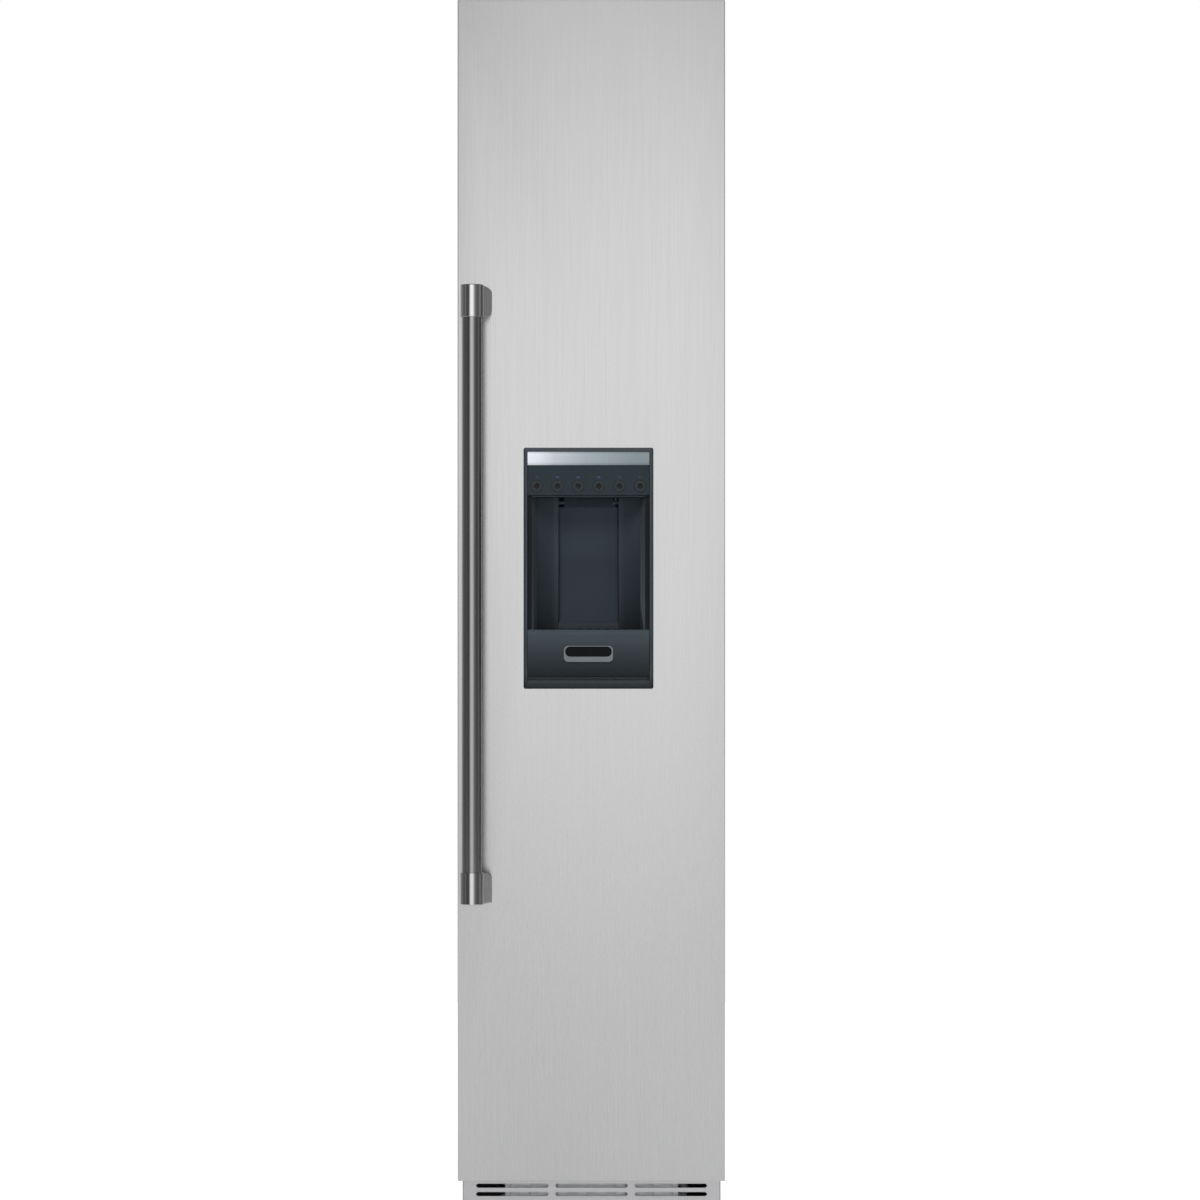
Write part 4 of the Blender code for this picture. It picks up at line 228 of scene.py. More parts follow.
# Lamp strip under the compartment's ceiling
LAMP_WIDTH = 0.240
LAMP_DEPTH = 0.018
LAMP_HEIGHT = 0.006
LAMP_SETBACK = 0.030
CEILING_SHEET = 0.0027

# How bright the studio is by height of direction, from straight down to straight up
WORLD_LEVEL = 1.39
HEIGHT_STOPS = (
    (0.0, 0.40), (0.34, 0.50), (0.42, 0.66), (0.46, 0.80), (0.50, 0.95), (0.53, 1.0),
    (0.565, 1.0), (0.60, 0.97), (0.64, 0.72), (0.70, 0.42), (0.86, 0.24), (1.0, 0.24),
)
# How bright it is round the object: degrees from straight in front, positive toward +X
TURN_STOPS = (
    (-180, 0.60), (-135, 0.45), (-112, 0.19), (-92, 0.15), (-76, 0.08), (-62, 0.17),
    (-50, 0.07), (-30, 0.06), (-19, 0.32), (-12, 0.84), (-6, 1.0), (8, 1.0), (16, 0.84),
    (24, 0.42), (36, 0.19), (50, 0.11), (64, 0.09), (78, 0.13), (92, 0.22), (112, 0.25),
    (135, 0.45), (180, 0.60),
)
# How far it opens above and below its dark flags, by the same height
OPEN_STOPS = (
    (0.0, 0.75), (0.30, 0.75), (0.395, 0.0), (0.61, 0.0), (0.70, 0.30), (1.0, 0.30),
)
# Area lamps: name, place, what they aim at, size and watts
LAMPS = (
    ("key", (-1.2, -2.9, 4.7), (0.0, -0.2, 1.1), (2.4, 1.8), 110),
    ("fill", (2.6, -2.2, 4.4), (0.0, 0.0, 1.1), (2.2, 1.8), 40),
    ("top", (0.0, 0.2, 4.4), (0.0, 0.0, 1.0), (2.4, 2.4), 45),
    ("back", (0.6, 3.6, 3.2), (0.0, 0.0, 1.1), (2.6, 2.0), 45),
)

# Floor: half its width, its own colour, and its glow to the camera and in reflections
FLOOR_SIZE = 3.6
FLOOR_COLOR = (0.50, 0.50, 0.50, 1)
FLOOR_SEEN = 0.85
FLOOR_MIRRORED = 0.42


def feed(tree, socket, value):
    """Links a socket to a node's output, or sets it to a plain value."""
    if isinstance(value, bpy.types.NodeSocket):
        tree.links.new(value, socket)
    else:
        socket.default_value = value


class Finish:
    """A material in the making: a Principled shader and the nodes that vary it over the surface."""

    def __init__(self, name, color, roughness, metallic=0.0, sockets=None):
        self.material = bpy.data.materials.new(name)
        self.material.use_nodes = True
        self.tree = self.material.node_tree
        self.shader = self.tree.nodes["Principled BSDF"]
        self.color = color
        self.normal = None
        self.set("Base Color", (*color, 1))
        self.set("Roughness", roughness)
        self.set("Metallic", metallic)
        for socket, value in (sockets or {}).items():
            self.set(socket, value)
        self.place = self.tree.nodes.new("ShaderNodeTexCoord").outputs["Object"]

    def set(self, socket, value):
        feed(self.tree, self.shader.inputs[socket], value)

    def node(self, kind, settings=None, inputs=None):
        made = self.tree.nodes.new("ShaderNode" + kind)
        for key, value in (settings or {}).items():
            setattr(made, key, value)
        for key, value in (inputs or {}).items():
            feed(self.tree, made.inputs[key], value)
        return made

    def along(self, axis):
        """The object's own coordinate along an axis, 0 to 2."""
        return self.node("SeparateXYZ", None, {"Vector": self.place}).outputs[axis]

    def mapped(self, scale):
        """Object coordinates times a scale along each axis, in features a metre."""
        return self.node("Mapping", None, {"Vector": self.place, "Scale": scale}).outputs[0]

    def noise(self, scale, detail=3.0):
        inputs = {"Vector": self.mapped(scale), "Scale": 1.0, "Detail": detail}
        return self.node("TexNoise", None, inputs).outputs[0]

    def cells(self, scale):
        made = self.node("TexVoronoi", None, {"Vector": self.mapped(scale), "Scale": 1.0})
        return made.outputs["Color"]

    def between(self, value, low, high, start=0.3, end=0.7):
        """A noise value spread from low to high."""
        inputs = {"Value": value, "From Min": start, "From Max": end, "To Min": low, "To Max": high}
        return self.node("MapRange", None, inputs).outputs[0]

    def mixed(self, factor, first, second):
        made = self.node("Mix", {"data_type": "RGBA"}, {0: factor, 6: first, 7: second})
        return made.outputs[2]

    def shaded(self, value, low, high):
        """The base colour times a share between low and high, as a value goes."""
        dark = (*(c * low for c in self.color), 1)
        light = (*(min(c * high, 1) for c in self.color), 1)
        return self.mixed(self.between(value, 0, 1), dark, light)

    def softened(self, radius):
        """The normal with edges rounded by a radius."""
        return self.node("Bevel", {"samples": BEVEL_SAMPLES}, {"Radius": radius}).outputs[0]

    def rounded(self, radius):
        """Edges that catch the light as if they were rounded by a radius."""
        self.normal = self.softened(radius)

    def worn(self, radius):
        """A mask that is 1 along edges and 0 on faces."""
        true = self.node("NewGeometry").outputs["True Normal"]
        inputs = {0: self.softened(radius), 1: true}
        dot = self.node("VectorMath", {"operation": "DOT_PRODUCT"}, inputs)
        return self.between(dot.outputs["Value"], 1, 0, RUBBED_DOT, CLEAN_DOT)

    def bump(self, height, strength, distance):
        inputs = {"Height": height, "Strength": strength, "Distance": distance}
        if self.normal is not None:
            inputs["Normal"] = self.normal
        self.normal = self.node("Bump", None, inputs).outputs[0]

    def done(self):
        if self.normal is not None:
            self.set("Normal", self.normal)
        return self.material


def brushed(name, color, roughness, grain, edge=0.0006):
    """Brushed metal: fine grain across one direction, with a faint unevenness over the sheet."""
    made = Finish(name, color, roughness, 1.0)
    fine = made.noise(grain, 5.0)
    broad = made.noise((3.0, 3.0, 1.4), 2.0)
    both = math_node(made.tree, "ADD", fine, broad)
    half = math_node(made.tree, "MULTIPLY", both, 0.5)
    made.set("Base Color", made.shaded(half, 0.965, 1.03))
    made.set("Roughness", made.between(fine, roughness - 0.02, roughness + 0.03))
    made.rounded(edge)
    made.bump(fine, 0.025, 0.0004)
    return made.done()


def polished(name, color, roughness):
    """Polished metal with hair-fine polishing marks and smudges."""
    made = Finish(name, color, roughness, 1.0)
    marks = made.noise((260.0, 260.0, 40.0), 4.0)
    smudge = made.noise((34.0, 34.0, 26.0), 3.0)
    made.set("Roughness", made.between(smudge, roughness, roughness + 0.06))
    made.set("Base Color", made.shaded(smudge, 0.95, 1.02))
    made.rounded(0.0005)
    made.bump(marks, 0.015, 0.0003)
    return made.done()


def sheet_metal(name, color, roughness, spangle):
    """Zinc-coated sheet: crystals of slightly unlike tone, duller in patches."""
    made = Finish(name, color, roughness, 0.85)
    crystals = made.cells((spangle, spangle, spangle))
    tone = made.node("SeparateColor", None, {"Color": crystals}).outputs[0]
    patches = made.noise((5.0, 5.0, 5.0), 3.0)
    made.set("Base Color", made.shaded(tone, 0.94, 1.03))
    made.set("Roughness", made.between(patches, roughness - 0.07, roughness + 0.1))
    made.rounded(0.0005)
    made.bump(tone, 0.05, 0.0003)
    return made.done()


def moulded(name, color, roughness, edge, peel=0.05, sockets=None, wear=1.35, painted_shading=None):
    """Moulded plastic: soft orange peel, uneven gloss, edges rubbed a little lighter, and where asked painted
    light and shade, darker low and lighter high.
    """
    made = Finish(name, color, roughness, 0.0, sockets)
    grain = made.noise((900.0, 900.0, 900.0), 2.0)
    cloud = made.noise((14.0, 14.0, 9.0), 3.0)
    base = made.shaded(cloud, 0.94, 1.05)
    # painted light and shade: the colour is scaled from dark low to light high, standing in for light from
    # above
    if painted_shading:
        low_z, high_z, shading_shares = painted_shading
        tone = made.between(made.along(2), *shading_shares, low_z, high_z)
        scaled = made.node("VectorMath", {"operation": "SCALE"}, {0: base, "Scale": tone})
        base = scaled.outputs[0]
    rubbed = (*(min(c * wear, 1) for c in color), 1)
    made.set("Base Color", made.mixed(made.worn(edge), base, rubbed))
    made.set("Roughness", made.between(cloud, roughness - 0.04, roughness + 0.05))
    made.rounded(edge)
    made.bump(grain, peel, 0.0003)
    return made.done()


def see_through(name, color, roughness, ior, edge):
    """Clear plastic or glass, with faint flow marks."""
    made = Finish(name, color, roughness, 0.0, {"Transmission Weight": 1.0, "IOR": ior})
    flow = made.noise((18.0, 18.0, 18.0), 2.0)
    made.set("Roughness", made.between(flow, roughness, roughness + 0.04))
    made.set("Base Color", made.shaded(flow, 0.97, 1.02))
    made.rounded(edge)
    made.bump(flow, 0.02, 0.0005)
    return made.done()


def foam_finish():
    """Cut foam: pores over an uneven tone."""
    made = Finish("foam_cut", (0.80, 0.74, 0.55), 0.9)
    pores = made.noise((420.0, 420.0, 420.0), 5.0)
    made.set("Base Color", made.shaded(pores, 0.82, 1.06))
    made.set("Roughness", made.between(pores, 0.85, 0.98))
    made.bump(pores, 0.5, 0.0012)
    return made.done()


def fill_ramp(ramp, stops):
    """Gives a ramp its stops, each a place and a colour."""
    elements = ramp.color_ramp.elements
    while len(elements) < len(stops):
        elements.new(0.5)
    for element, (place, color) in zip(elements, stops):
        element.position = place
        element.color = (*color, 1)


def silver_with_painted_reflection(low_x, high_x):
    """The strip over the keys: satin silver with a painted reflection, pale at its left and grey at its
    right.
    """
    made = Finish("silver_with_painted_reflection", (0.5, 0.53, 0.56), 0.2, 0.9)
    share = made.between(made.along(0), 0, 1, low_x, high_x)
    # painted reflection: the colour runs from pale to grey across the strip
    ramp = made.node("ValToRGB", None, {"Fac": share})
    stops = (
        (0.0, (0.69, 0.73, 0.765)),
        (0.10, (0.62, 0.66, 0.695)),
        (0.22, (0.46, 0.50, 0.53)),
        (0.48, (0.31, 0.355, 0.39)),
        (0.72, (0.245, 0.285, 0.31)),
        (0.90, (0.20, 0.24, 0.26)),
        (0.97, (0.21, 0.24, 0.26)),
    )
    fill_ramp(ramp, stops)
    grain = made.noise((8.0, 8.0, 1500.0), 3.0)
    made.set("Base Color", ramp.outputs[0])
    made.set("Roughness", made.between(grain, 0.18, 0.26))
    made.rounded(0.0004)
    made.bump(grain, 0.03, 0.0003)
    return made.done()


def lit_diffuser():
    """The lamp's diffuser: milky plastic that glows, a little less toward its ends."""
    made = Finish("lamp_diffuser", (0.95, 0.96, 0.97), 0.5)
    ends = made.node("Math", {"operation": "ABSOLUTE"}, {0: made.along(0)}).outputs[0]
    made.set("Emission Color", (0.93, 0.97, 1.0, 1))
    made.set("Emission Strength", made.between(ends, 16.0, 9.0, 0.0, LAMP_WIDTH / 2))
    made.bump(made.noise((700.0, 700.0, 700.0)), 0.1, 0.0003)
    return made.done()


def placed(name, data):
    """A new object, linked into the scene."""
    obj = bpy.data.objects.new(name, data)
    bpy.context.scene.collection.objects.link(obj)
    return obj


def piece(name, shape, body, finish, slot, *nodes):
    """A finished piece in the row frame that rides on a body and stands for some CAD nodes."""
    obj = placed(name, mesh_of(name, shape))
    obj.data.materials.clear()
    obj.data.materials.append(finish)
    obj.data.shade_smooth()
    obj.data.set_sharp_from_angle(angle=math.radians(SMOOTH_DEGREES))
    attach(obj, body)
    if nodes:
        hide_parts(*nodes)


def mesh_of(name, shape):
    """The mesh of a bmesh, with its faces pointing out."""
    bmesh.ops.recalc_face_normals(shape, faces=shape.faces)
    mesh = bpy.data.meshes.new(name)
    shape.to_mesh(mesh)
    shape.free()
    return mesh


def round_edges(shape, width, degrees, segments, chosen=None):
    """Rounds a shape's sharp edges, or those of them that a test chooses."""
    sharp = [
        edge
        for edge in shape.edges
        if len(edge.link_faces) == 2
        and edge.calc_face_angle() > math.radians(degrees)
        and (chosen is None or chosen(edge))
    ]
    bmesh.ops.bevel(
        shape, geom=sharp, offset=width, segments=segments, profile=0.5, affect="EDGES", clamp_overlap=False
    )


def copied(node):
    """A CAD node's shape, with its corners welded and its flat faces made whole."""
    shape = bmesh.new()
    shape.from_mesh(NODES[node].data)
    bmesh.ops.remove_doubles(shape, verts=shape.verts, dist=MERGE)
    bmesh.ops.dissolve_limit(
        shape, angle_limit=math.radians(FLAT_DEGREES), verts=shape.verts, edges=shape.edges
    )
    return shape


def smoothed(finish, slot, *nodes):
    """CAD nodes' own shapes, shaded smooth over their round faces."""
    for node in nodes:
        piece(node + "_smooth", copied(node), NODES[node]["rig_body"], finish, slot, node)


def extruded(outlines, place, low, high):
    """A solid between two depths: the first outline filled, the rest holes, each point put by a function."""
    curve = bpy.data.curves.new("outline", "CURVE")
    curve.dimensions = "2D"
    curve.fill_mode = "BOTH"
    curve.extrude = (high - low) / 2
    for outline in outlines:
        spline = curve.splines.new("POLY")
        spline.points.add(len(outline) - 1)
        for point, (a, b) in zip(spline.points, outline):
            point.co = (a, b, 0, 1)
        spline.use_cyclic_u = True
    guide = placed("outline", curve)
    bpy.context.view_layer.update()
    mesh = bpy.data.meshes.new_from_object(guide.evaluated_get(bpy.context.evaluated_depsgraph_get()))
    shape = bmesh.new()
    shape.from_mesh(mesh)
    bpy.data.objects.remove(guide)
    bpy.data.curves.remove(curve)
    bpy.data.meshes.remove(mesh)
    bmesh.ops.remove_doubles(shape, verts=shape.verts, dist=MERGE)
    middle = (low + high) / 2
    for vert in shape.verts:
        vert.co = Vector(place(vert.co.x, vert.co.y, middle + vert.co.z))
    return shape


def facing_front(a, b, depth):
    return a, depth, b


def facing_up(a, b, height):
    return a, b, height


def facing_side(a, b, x):
    return x, a, b


def arc(centre, radius, start, end, steps):
    """Points on an arc, in degrees."""
    points = []
    for i in range(steps + 1):
        angle = math.radians(start + (end - start) * i / steps)
        points.append((centre[0] + radius * math.cos(angle), centre[1] + radius * math.sin(angle)))
    return points


def circle(centre, radius, steps=ROUND_STEPS):
    return arc(centre, radius, 0, 360 * (steps - 1) / steps, steps - 1)


def rounded_rectangle(low, high, radius):
    left, right = low[0] + radius, high[0] - radius
    bottom, top = low[1] + radius, high[1] - radius
    points = []
    for i, corner in enumerate(((right, top), (left, top), (left, bottom), (right, bottom))):
        points += arc(corner, radius, 90 * i, 90 * (i + 1), CORNER_STEPS)
    return points


def swept(low, high, radius, section, place, closed):
    """Rounded rectangles joined one to the next: each a section point's inset and depth."""
    shape = bmesh.new()
    rings = []
    for inset, depth in section:
        inner_low = (low[0] + inset, low[1] + inset)
        inner_high = (high[0] - inset, high[1] - inset)
        outline = rounded_rectangle(inner_low, inner_high, max(radius - inset, SKIN))
        rings.append([shape.verts.new(place(a, b, depth)) for a, b in outline])
    pairs = list(zip(rings, rings[1:]))
    if closed:
        pairs.append((rings[-1], rings[0]))
    else:
        shape.faces.new(rings[0])
        shape.faces.new(rings[-1])
    for first, second in pairs:
        for i in range(len(first)):
            j = (i + 1) % len(first)
            shape.faces.new((first[i], first[j], second[j], second[i]))
    return shape


def spline_through(points, steps):
    """A smooth line through points, with a number of steps between each two."""
    padded = [points[0], *points, points[-1]]
    line = []
    for p, q, r, s in zip(padded, padded[1:], padded[2:], padded[3:]):
        for i in range(steps):
            t = i / steps
            pair = []
            for a, b, c, d in zip(p, q, r, s):
                square = (2 * a - 5 * b + 4 * c - d) * t**2
                cube = (3 * b - a - 3 * c + d) * t**3
                pair.append((2 * b + (c - a) * t + square + cube) / 2)
            line.append(tuple(pair))
    return line + [tuple(points[-1])]


def added(shape, other):
    """Adds another bmesh to a shape as a body of its own."""
    mesh = mesh_of("added", other)
    shape.from_mesh(mesh)
    bpy.data.meshes.remove(mesh)


def lathed(profile, centre, place, steps=ROUND_STEPS):
    """A turned shape from (radius, height) points; a function puts each (a, b, height) about the centre."""
    shape = bmesh.new()
    rings = []
    for radius, height in profile:
        points = circle(centre, radius, steps) if radius else [centre]
        rings.append([shape.verts.new(place(a, b, height)) for a, b in points])
    for lower, upper in zip(rings, rings[1:]):
        for i in range(steps):
            j = (i + 1) % steps
            corners = [lower[i % len(lower)], lower[j % len(lower)]]
            corners += [upper[j % len(upper)], upper[i % len(upper)]]
            unique = list(dict.fromkeys(corners))
            if len(unique) > 2:
                shape.faces.new(unique)
    return shape


def bisected(shape, point, normal, cleared):
    """Cuts a shape along a plane and, if cleared, takes off what lies past it."""
    geometry = shape.verts[:] + shape.edges[:] + shape.faces[:]
    return bmesh.ops.bisect_plane(shape, geom=geometry, plane_co=point, plane_no=normal, clear_outer=cleared)


def make_panel(steel):
    """The door's pan, its folded front edges rounded as bent sheet is."""
    low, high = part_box("door_panel")
    shape = copied("door_panel")

    def outer_fold(edge):
        at_front = all(abs(v.co.y - low.y) < MERGE for v in edge.verts)
        on_side = all(min(v.co.x - low.x, high.x - v.co.x) < MERGE for v in edge.verts)
        on_end = all(min(v.co.z - low.z, high.z - v.co.z) < MERGE for v in edge.verts)
        return at_front and (on_side or on_end)

    round_edges(shape, PANEL_EDGE, degrees=60, segments=5, chosen=outer_fold)
    piece("panel_sheet", shape, "door", steel, "brushed_steel", "door_panel")


def make_handle(tube_steel, ferrule_steel, foot_steel):
    """The round tube, and at each end a ferrule on its tapered foot."""
    low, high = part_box("handle_tube")
    centre = ((low.x + high.x) / 2, (low.y + high.y) / 2)
    profile = [(0, low.z), (TUBE_RADIUS - LIP, low.z), (TUBE_RADIUS - SKIN, low.z + LIP)]
    profile += [(TUBE_RADIUS - SKIN, high.z - LIP), (TUBE_RADIUS - LIP, high.z), (0, high.z)]
    tube = lathed(profile, centre, facing_up)
    piece("handle_bar", tube, "door", tube_steel, "brushed_steel", "handle_tube")
    for node, outward, over, under in BRACKETS:
        low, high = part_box(node)
        end, mouth = (high.z, low.z) if outward > 0 else (low.z, high.z)
        radius = FERRULE_RADIUS - SKIN
        shape = lathed(ferrule_profile(end, mouth, radius, outward), centre, facing_up)
        piece(node + "_ferrule", shape, "door", ferrule_steel, "polished_steel", node)
        foot = foot_shape(centre, low, high, radius, over, under)
        piece(node + "_foot", foot, "door", foot_steel, "polished_steel")


def ferrule_profile(end, mouth, radius, outward):
    """The ferrule from its rounded end to the eased edge of its mouth."""
    points = [(0, end)]
    for r, h in arc((0, 0), FERRULE_ROUND, 90, 0, CORNER_STEPS):
        points.append((radius - FERRULE_ROUND + r, end - outward * (FERRULE_ROUND - h)))
    return points + [
        (radius, end - outward * (FERRULE_ROUND + FERRULE_HOLD)),
        (radius, mouth + outward * (FERRULE_MOUTH + FERRULE_HOLD)),
        (radius, mouth + outward * FERRULE_MOUTH),
        (radius - FERRULE_MOUTH, mouth),
        (TUBE_RADIUS, mouth),
        (TUBE_RADIUS - LIP, mouth + outward * LIP),
        (0, mouth + outward * LIP),
    ]


def foot_shape(centre, low, high, radius, over, under):
    """The foot: flat flanks from the ferrule to the panel, its upper and lower ends curved in toward it."""
    face = high.y
    corners = ((centre[0] + FOOT_RIGHT, face), (centre[0] - FOOT_LEFT, face))
    angles = []
    inner = radius - LIP / 4
    for (x, y), side in zip(corners, (-1, 1)):
        away = Vector((x - centre[0], y - centre[1]))
        lean = math.degrees(math.atan2(away.y, away.x))
        angles.append(lean + side * math.degrees(math.acos(inner / away.length)))
    first, second = angles
    outline = arc(centre, inner, second - 360, first, FOOT_STEPS) + [corners[0], corners[1]]
    bottom = low.z + FOOT_MARGIN
    top = high.z - FOOT_MARGIN
    shape = extruded([outline], facing_up, bottom, top)
    depth = face - centre[1]
    for i in range(FOOT_CUTS):
        plane = centre[1] + depth * math.sin(math.radians(90 * (i + 1) / (FOOT_CUTS + 1)))
        bisected(shape, (0, plane, 0), (0, 1, 0), False)
    for vert in shape.verts:
        share = min(max((vert.co.y - centre[1]) / depth, 0), 1)
        taper = 1 - math.sqrt(1 - share * share * FOOT_EASE)
        vert.co.z += under * taper if vert.co.z < (bottom + top) / 2 else -over * taper
    return shape


def make_frame(plastic):
    """The frame with its slanted rim, and the chin under the tray with a groove above it."""
    low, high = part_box("dispenser_frame")
    front = low.y
    corner = RIM_WIDTH / 2
    section = [(inset, front + depth) for inset, depth in RIM_PROFILE]
    shape = swept((low.x, low.z), (high.x, high.z), corner, section, facing_front, True)
    piece("frame_rim", shape, "door", plastic, "dark_plastic", "dispenser_frame")
    strip_low, strip_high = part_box("dispenser_strip")
    bottom = low.z + RIM_WIDTH - SKIN
    face = front + RIM_PROUD - LIP / 2
    crest = bottom + CHIN_FACE
    outline = [
        (face, bottom),
        (face, crest),
        (face + LIP, crest + LIP),
        (face + CHIN_RECESS, crest + 2 * LIP),
        (face + CHIN_RECESS, bottom + CHIN_RISE),
        (face + 2 * CHIN_RECESS, bottom + CHIN_RISE),
        (face + 2 * CHIN_RECESS, bottom),
    ]
    chin = extruded([outline], facing_side, strip_low.x - SKIN, strip_high.x + SKIN)
    piece("frame_chin", chin, "door", plastic, "dark_plastic")


def make_strip():
    """The silver strip with a soft crown over its height."""
    low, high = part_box("dispenser_strip")
    crown = (high.y - low.y) / CROWN_PARTS
    section = [(high.y, low.z), (low.y + 2 * crown, low.z)]
    middle = (low.z + high.z) / 2
    half = (high.z - low.z) / 2
    for i in range(CROWN_STEPS + 1):
        share = 2 * i / CROWN_STEPS - 1
        bend = crown * abs(share) ** CROWN_POWER
        section.append((low.y + bend, middle + half * share))
    section += [(low.y + 2 * crown, high.z), (high.y, high.z)]
    shape = extruded([section], facing_side, low.x, high.x)
    # painted reflection on the strip, pale at the left to grey at the right
    silver = silver_with_painted_reflection(low.x, high.x)
    piece("silver_strip", shape, "door", silver, "silver_trim", "dispenser_strip")


def key_centre(i):
    """The middle of a key in front view."""
    low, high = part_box(f"control_key_{i + 1}")
    return (low.x + high.x) / 2, (low.z + high.z) / 2


def make_fascia(plastic):
    """The fascia with truly round holes."""
    low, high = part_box("control_fascia")
    outlines = [rounded_rectangle((low.x, low.z), (high.x, high.z), LIP)]
    for i in range(KEY_COUNT):
        outlines.append(circle(key_centre(i), KEY_RADIUS + KEY_CLEARANCE))
    shape = extruded(outlines, facing_front, low.y, high.y)
    piece("fascia_plate", shape, "door", plastic, "dark_plastic", "control_fascia")


def make_keys(ring, centre_finish):
    """Six turned keys: an eased outer edge, a raised ring, a fine groove and a dark dished centre."""
    for i in range(KEY_COUNT):
        key = f"key_{i + 1}"
        node = f"control_{key}"
        low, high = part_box(node)
        centre = key_centre(i)
        flange = (high.x - low.x) / 2
        front, back = low.y, high.y
        shoulder = back - KEY_SHOULDER
        profile = [(0, back), (flange, back), (flange, shoulder), (KEY_RADIUS, shoulder)]
        profile += arc((KEY_RADIUS - KEY_EDGE, front + KEY_EDGE), KEY_EDGE, 0, -90, KEY_STEPS)
        inner = KEY_RADIUS - KEY_RING
        dish = [(r * DISH_RADIUS, front + h * DISH_DEPTH) for r, h in DISH_PROFILE]
        profile += [
            (inner, front),
            (inner - KEY_GROOVE, front + KEY_GROOVE),
            (inner - 2 * KEY_GROOVE, front),
            (DISH_RADIUS, front),
            dish[0],
        ]
        shape = lathed(profile, centre, facing_front)
        piece(f"{key}_cap", shape, key, ring, "dark_plastic", node)
        disc = lathed(dish, centre, facing_front)
        piece(f"{key}_lens", disc, key, centre_finish, "dark_plastic")


def make_sill(plastic, grille):
    """The tray: a bulged front whose crest is high up, the pan behind it, and the grille in it."""
    low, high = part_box("drip_tray")
    pan_low, pan_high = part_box("tray_grille")
    foot = low.z - SILL_DROP
    rise = high.z - foot
    line = [(low.y + back, foot + share * rise) for back, share in SILL_PROFILE]
    front = spline_through(line, SILL_STEPS)
    shape = extruded([front], facing_side, low.x, high.x)
    reach = 2 * TRAY_WALL
    corner_low = (pan_low.x - reach, pan_low.y - reach)
    corner_high = (pan_high.x + reach, pan_high.y + reach)
    floor = high.z - TRAY_DEPTH
    section = [
        (2 * TRAY_WALL, floor),
        (TRAY_WALL / 2, floor + TRAY_WALL / 2),
        (0, floor + 2 * TRAY_WALL),
        (0, high.z - SKIN),
        (SKIN, high.z),
        (TRAY_WALL - SKIN, high.z),
        (TRAY_WALL, high.z - SKIN),
        (TRAY_WALL, floor + 3 * TRAY_WALL),
        (2 * TRAY_WALL, floor + TRAY_WALL),
    ]
    added(shape, swept(corner_low, corner_high, TRAY_CORNER, section, facing_up, False))
    piece("tray_body", shape, "drip_tray", plastic, "dark_plastic", "drip_tray")
    smoothed(grille, "dark_plastic", "tray_grille")


def make_paddle(plastic):
    """The paddle's pad and ribs, cut off under its sloped neck, and its round pivot bar."""
    low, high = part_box("paddle")
    axis = (low.y + PADDLE_TOE, high.z - PADDLE_BAR)
    cut = axis[1] - PADDLE_NECK
    shape = copied("paddle")
    left = min(v.co.x for v in shape.verts if v.co.z < low.z + PADDLE_TOE)
    right = max(v.co.x for v in shape.verts if v.co.z < low.z + PADDLE_TOE)
    sliced = bisected(shape, (0, 0, cut), (0, 0, 1), True)
    rim = [part for part in sliced["geom_cut"] if isinstance(part, bmesh.types.BMEdge)]
    bmesh.ops.holes_fill(shape, edges=rim)
    round_edges(shape, LIP / 3, degrees=60, segments=2)
    half = PADDLE_SHEET / 2
    neck = [(axis[0] - half + SKIN, cut - SKIN), (axis[0] + half / 2, axis[1]), (axis[0] + half, axis[1])]
    neck += [(axis[0] + half, cut - SKIN)]
    added(shape, extruded([neck], facing_side, left + NECK_LEFT, right - NECK_RIGHT))
    profile = [(0, low.x), (PADDLE_BAR - SKIN, low.x), (PADDLE_BAR - SKIN, high.x), (0, high.x)]
    added(shape, lathed(profile, axis, facing_side, BAR_STEPS))
    piece("paddle_pad", shape, "paddle", plastic, "dark_plastic", "paddle")


def make_plate(dark, rim_metal):
    """A bare plate on the tray's front: a metal rim, broad at its foot, round a sunk dark field."""
    low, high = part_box("drip_tray")
    middle = (low.x + high.x) / 2
    top = high.z - PLATE_TOP_DROP
    foot = top - PLATE_HEIGHT
    face = low.y - LIP / 4

    def leaning(a, b, depth):
        return a, depth + (top - b) * PLATE_LEAN, b

    half = PLATE_WIDTH / 2
    outer = rounded_rectangle((middle - half, foot), (middle + half, top), PLATE_BAR - LIP)
    field_low = (middle - half + PLATE_SIDE, foot + PLATE_BAR)
    field_high = (middle + half - PLATE_SIDE, top - PLATE_RIM)
    field = rounded_rectangle(field_low, field_high, (field_high[1] - field_low[1]) / 2 - SKIN)
    back = face + PLATE_THICKNESS
    rim = extruded([outer, field], leaning, face, back)
    piece("plate_rim", rim, "drip_tray", rim_metal, "silver_trim")
    sunk = extruded([field], leaning, face + PLATE_RIM / 4, back)
    piece("plate_field", sunk, "drip_tray", dark, "dark_plastic")


def make_seals(rubber):
    """Dark seals down both sides of the recess, between its flange and the frame."""
    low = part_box("niche_housing")[0]
    strip_low, strip_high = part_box("dispenser_strip")
    fascia_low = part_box("control_fascia")[0]
    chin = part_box("dispenser_frame")[0].z + RIM_WIDTH + CHIN_RISE
    for side, edge in (("left", strip_low.x), ("right", strip_high.x - SEAL_WIDTH)):
        outline = rounded_rectangle((edge, chin), (edge + SEAL_WIDTH, fascia_low.z - SKIN), LIP)
        shape = extruded([outline], facing_front, low.y - LIP / 3, low.y + LIP)
        piece(f"niche_seal_{side}", shape, "door", rubber, "dark_plastic")


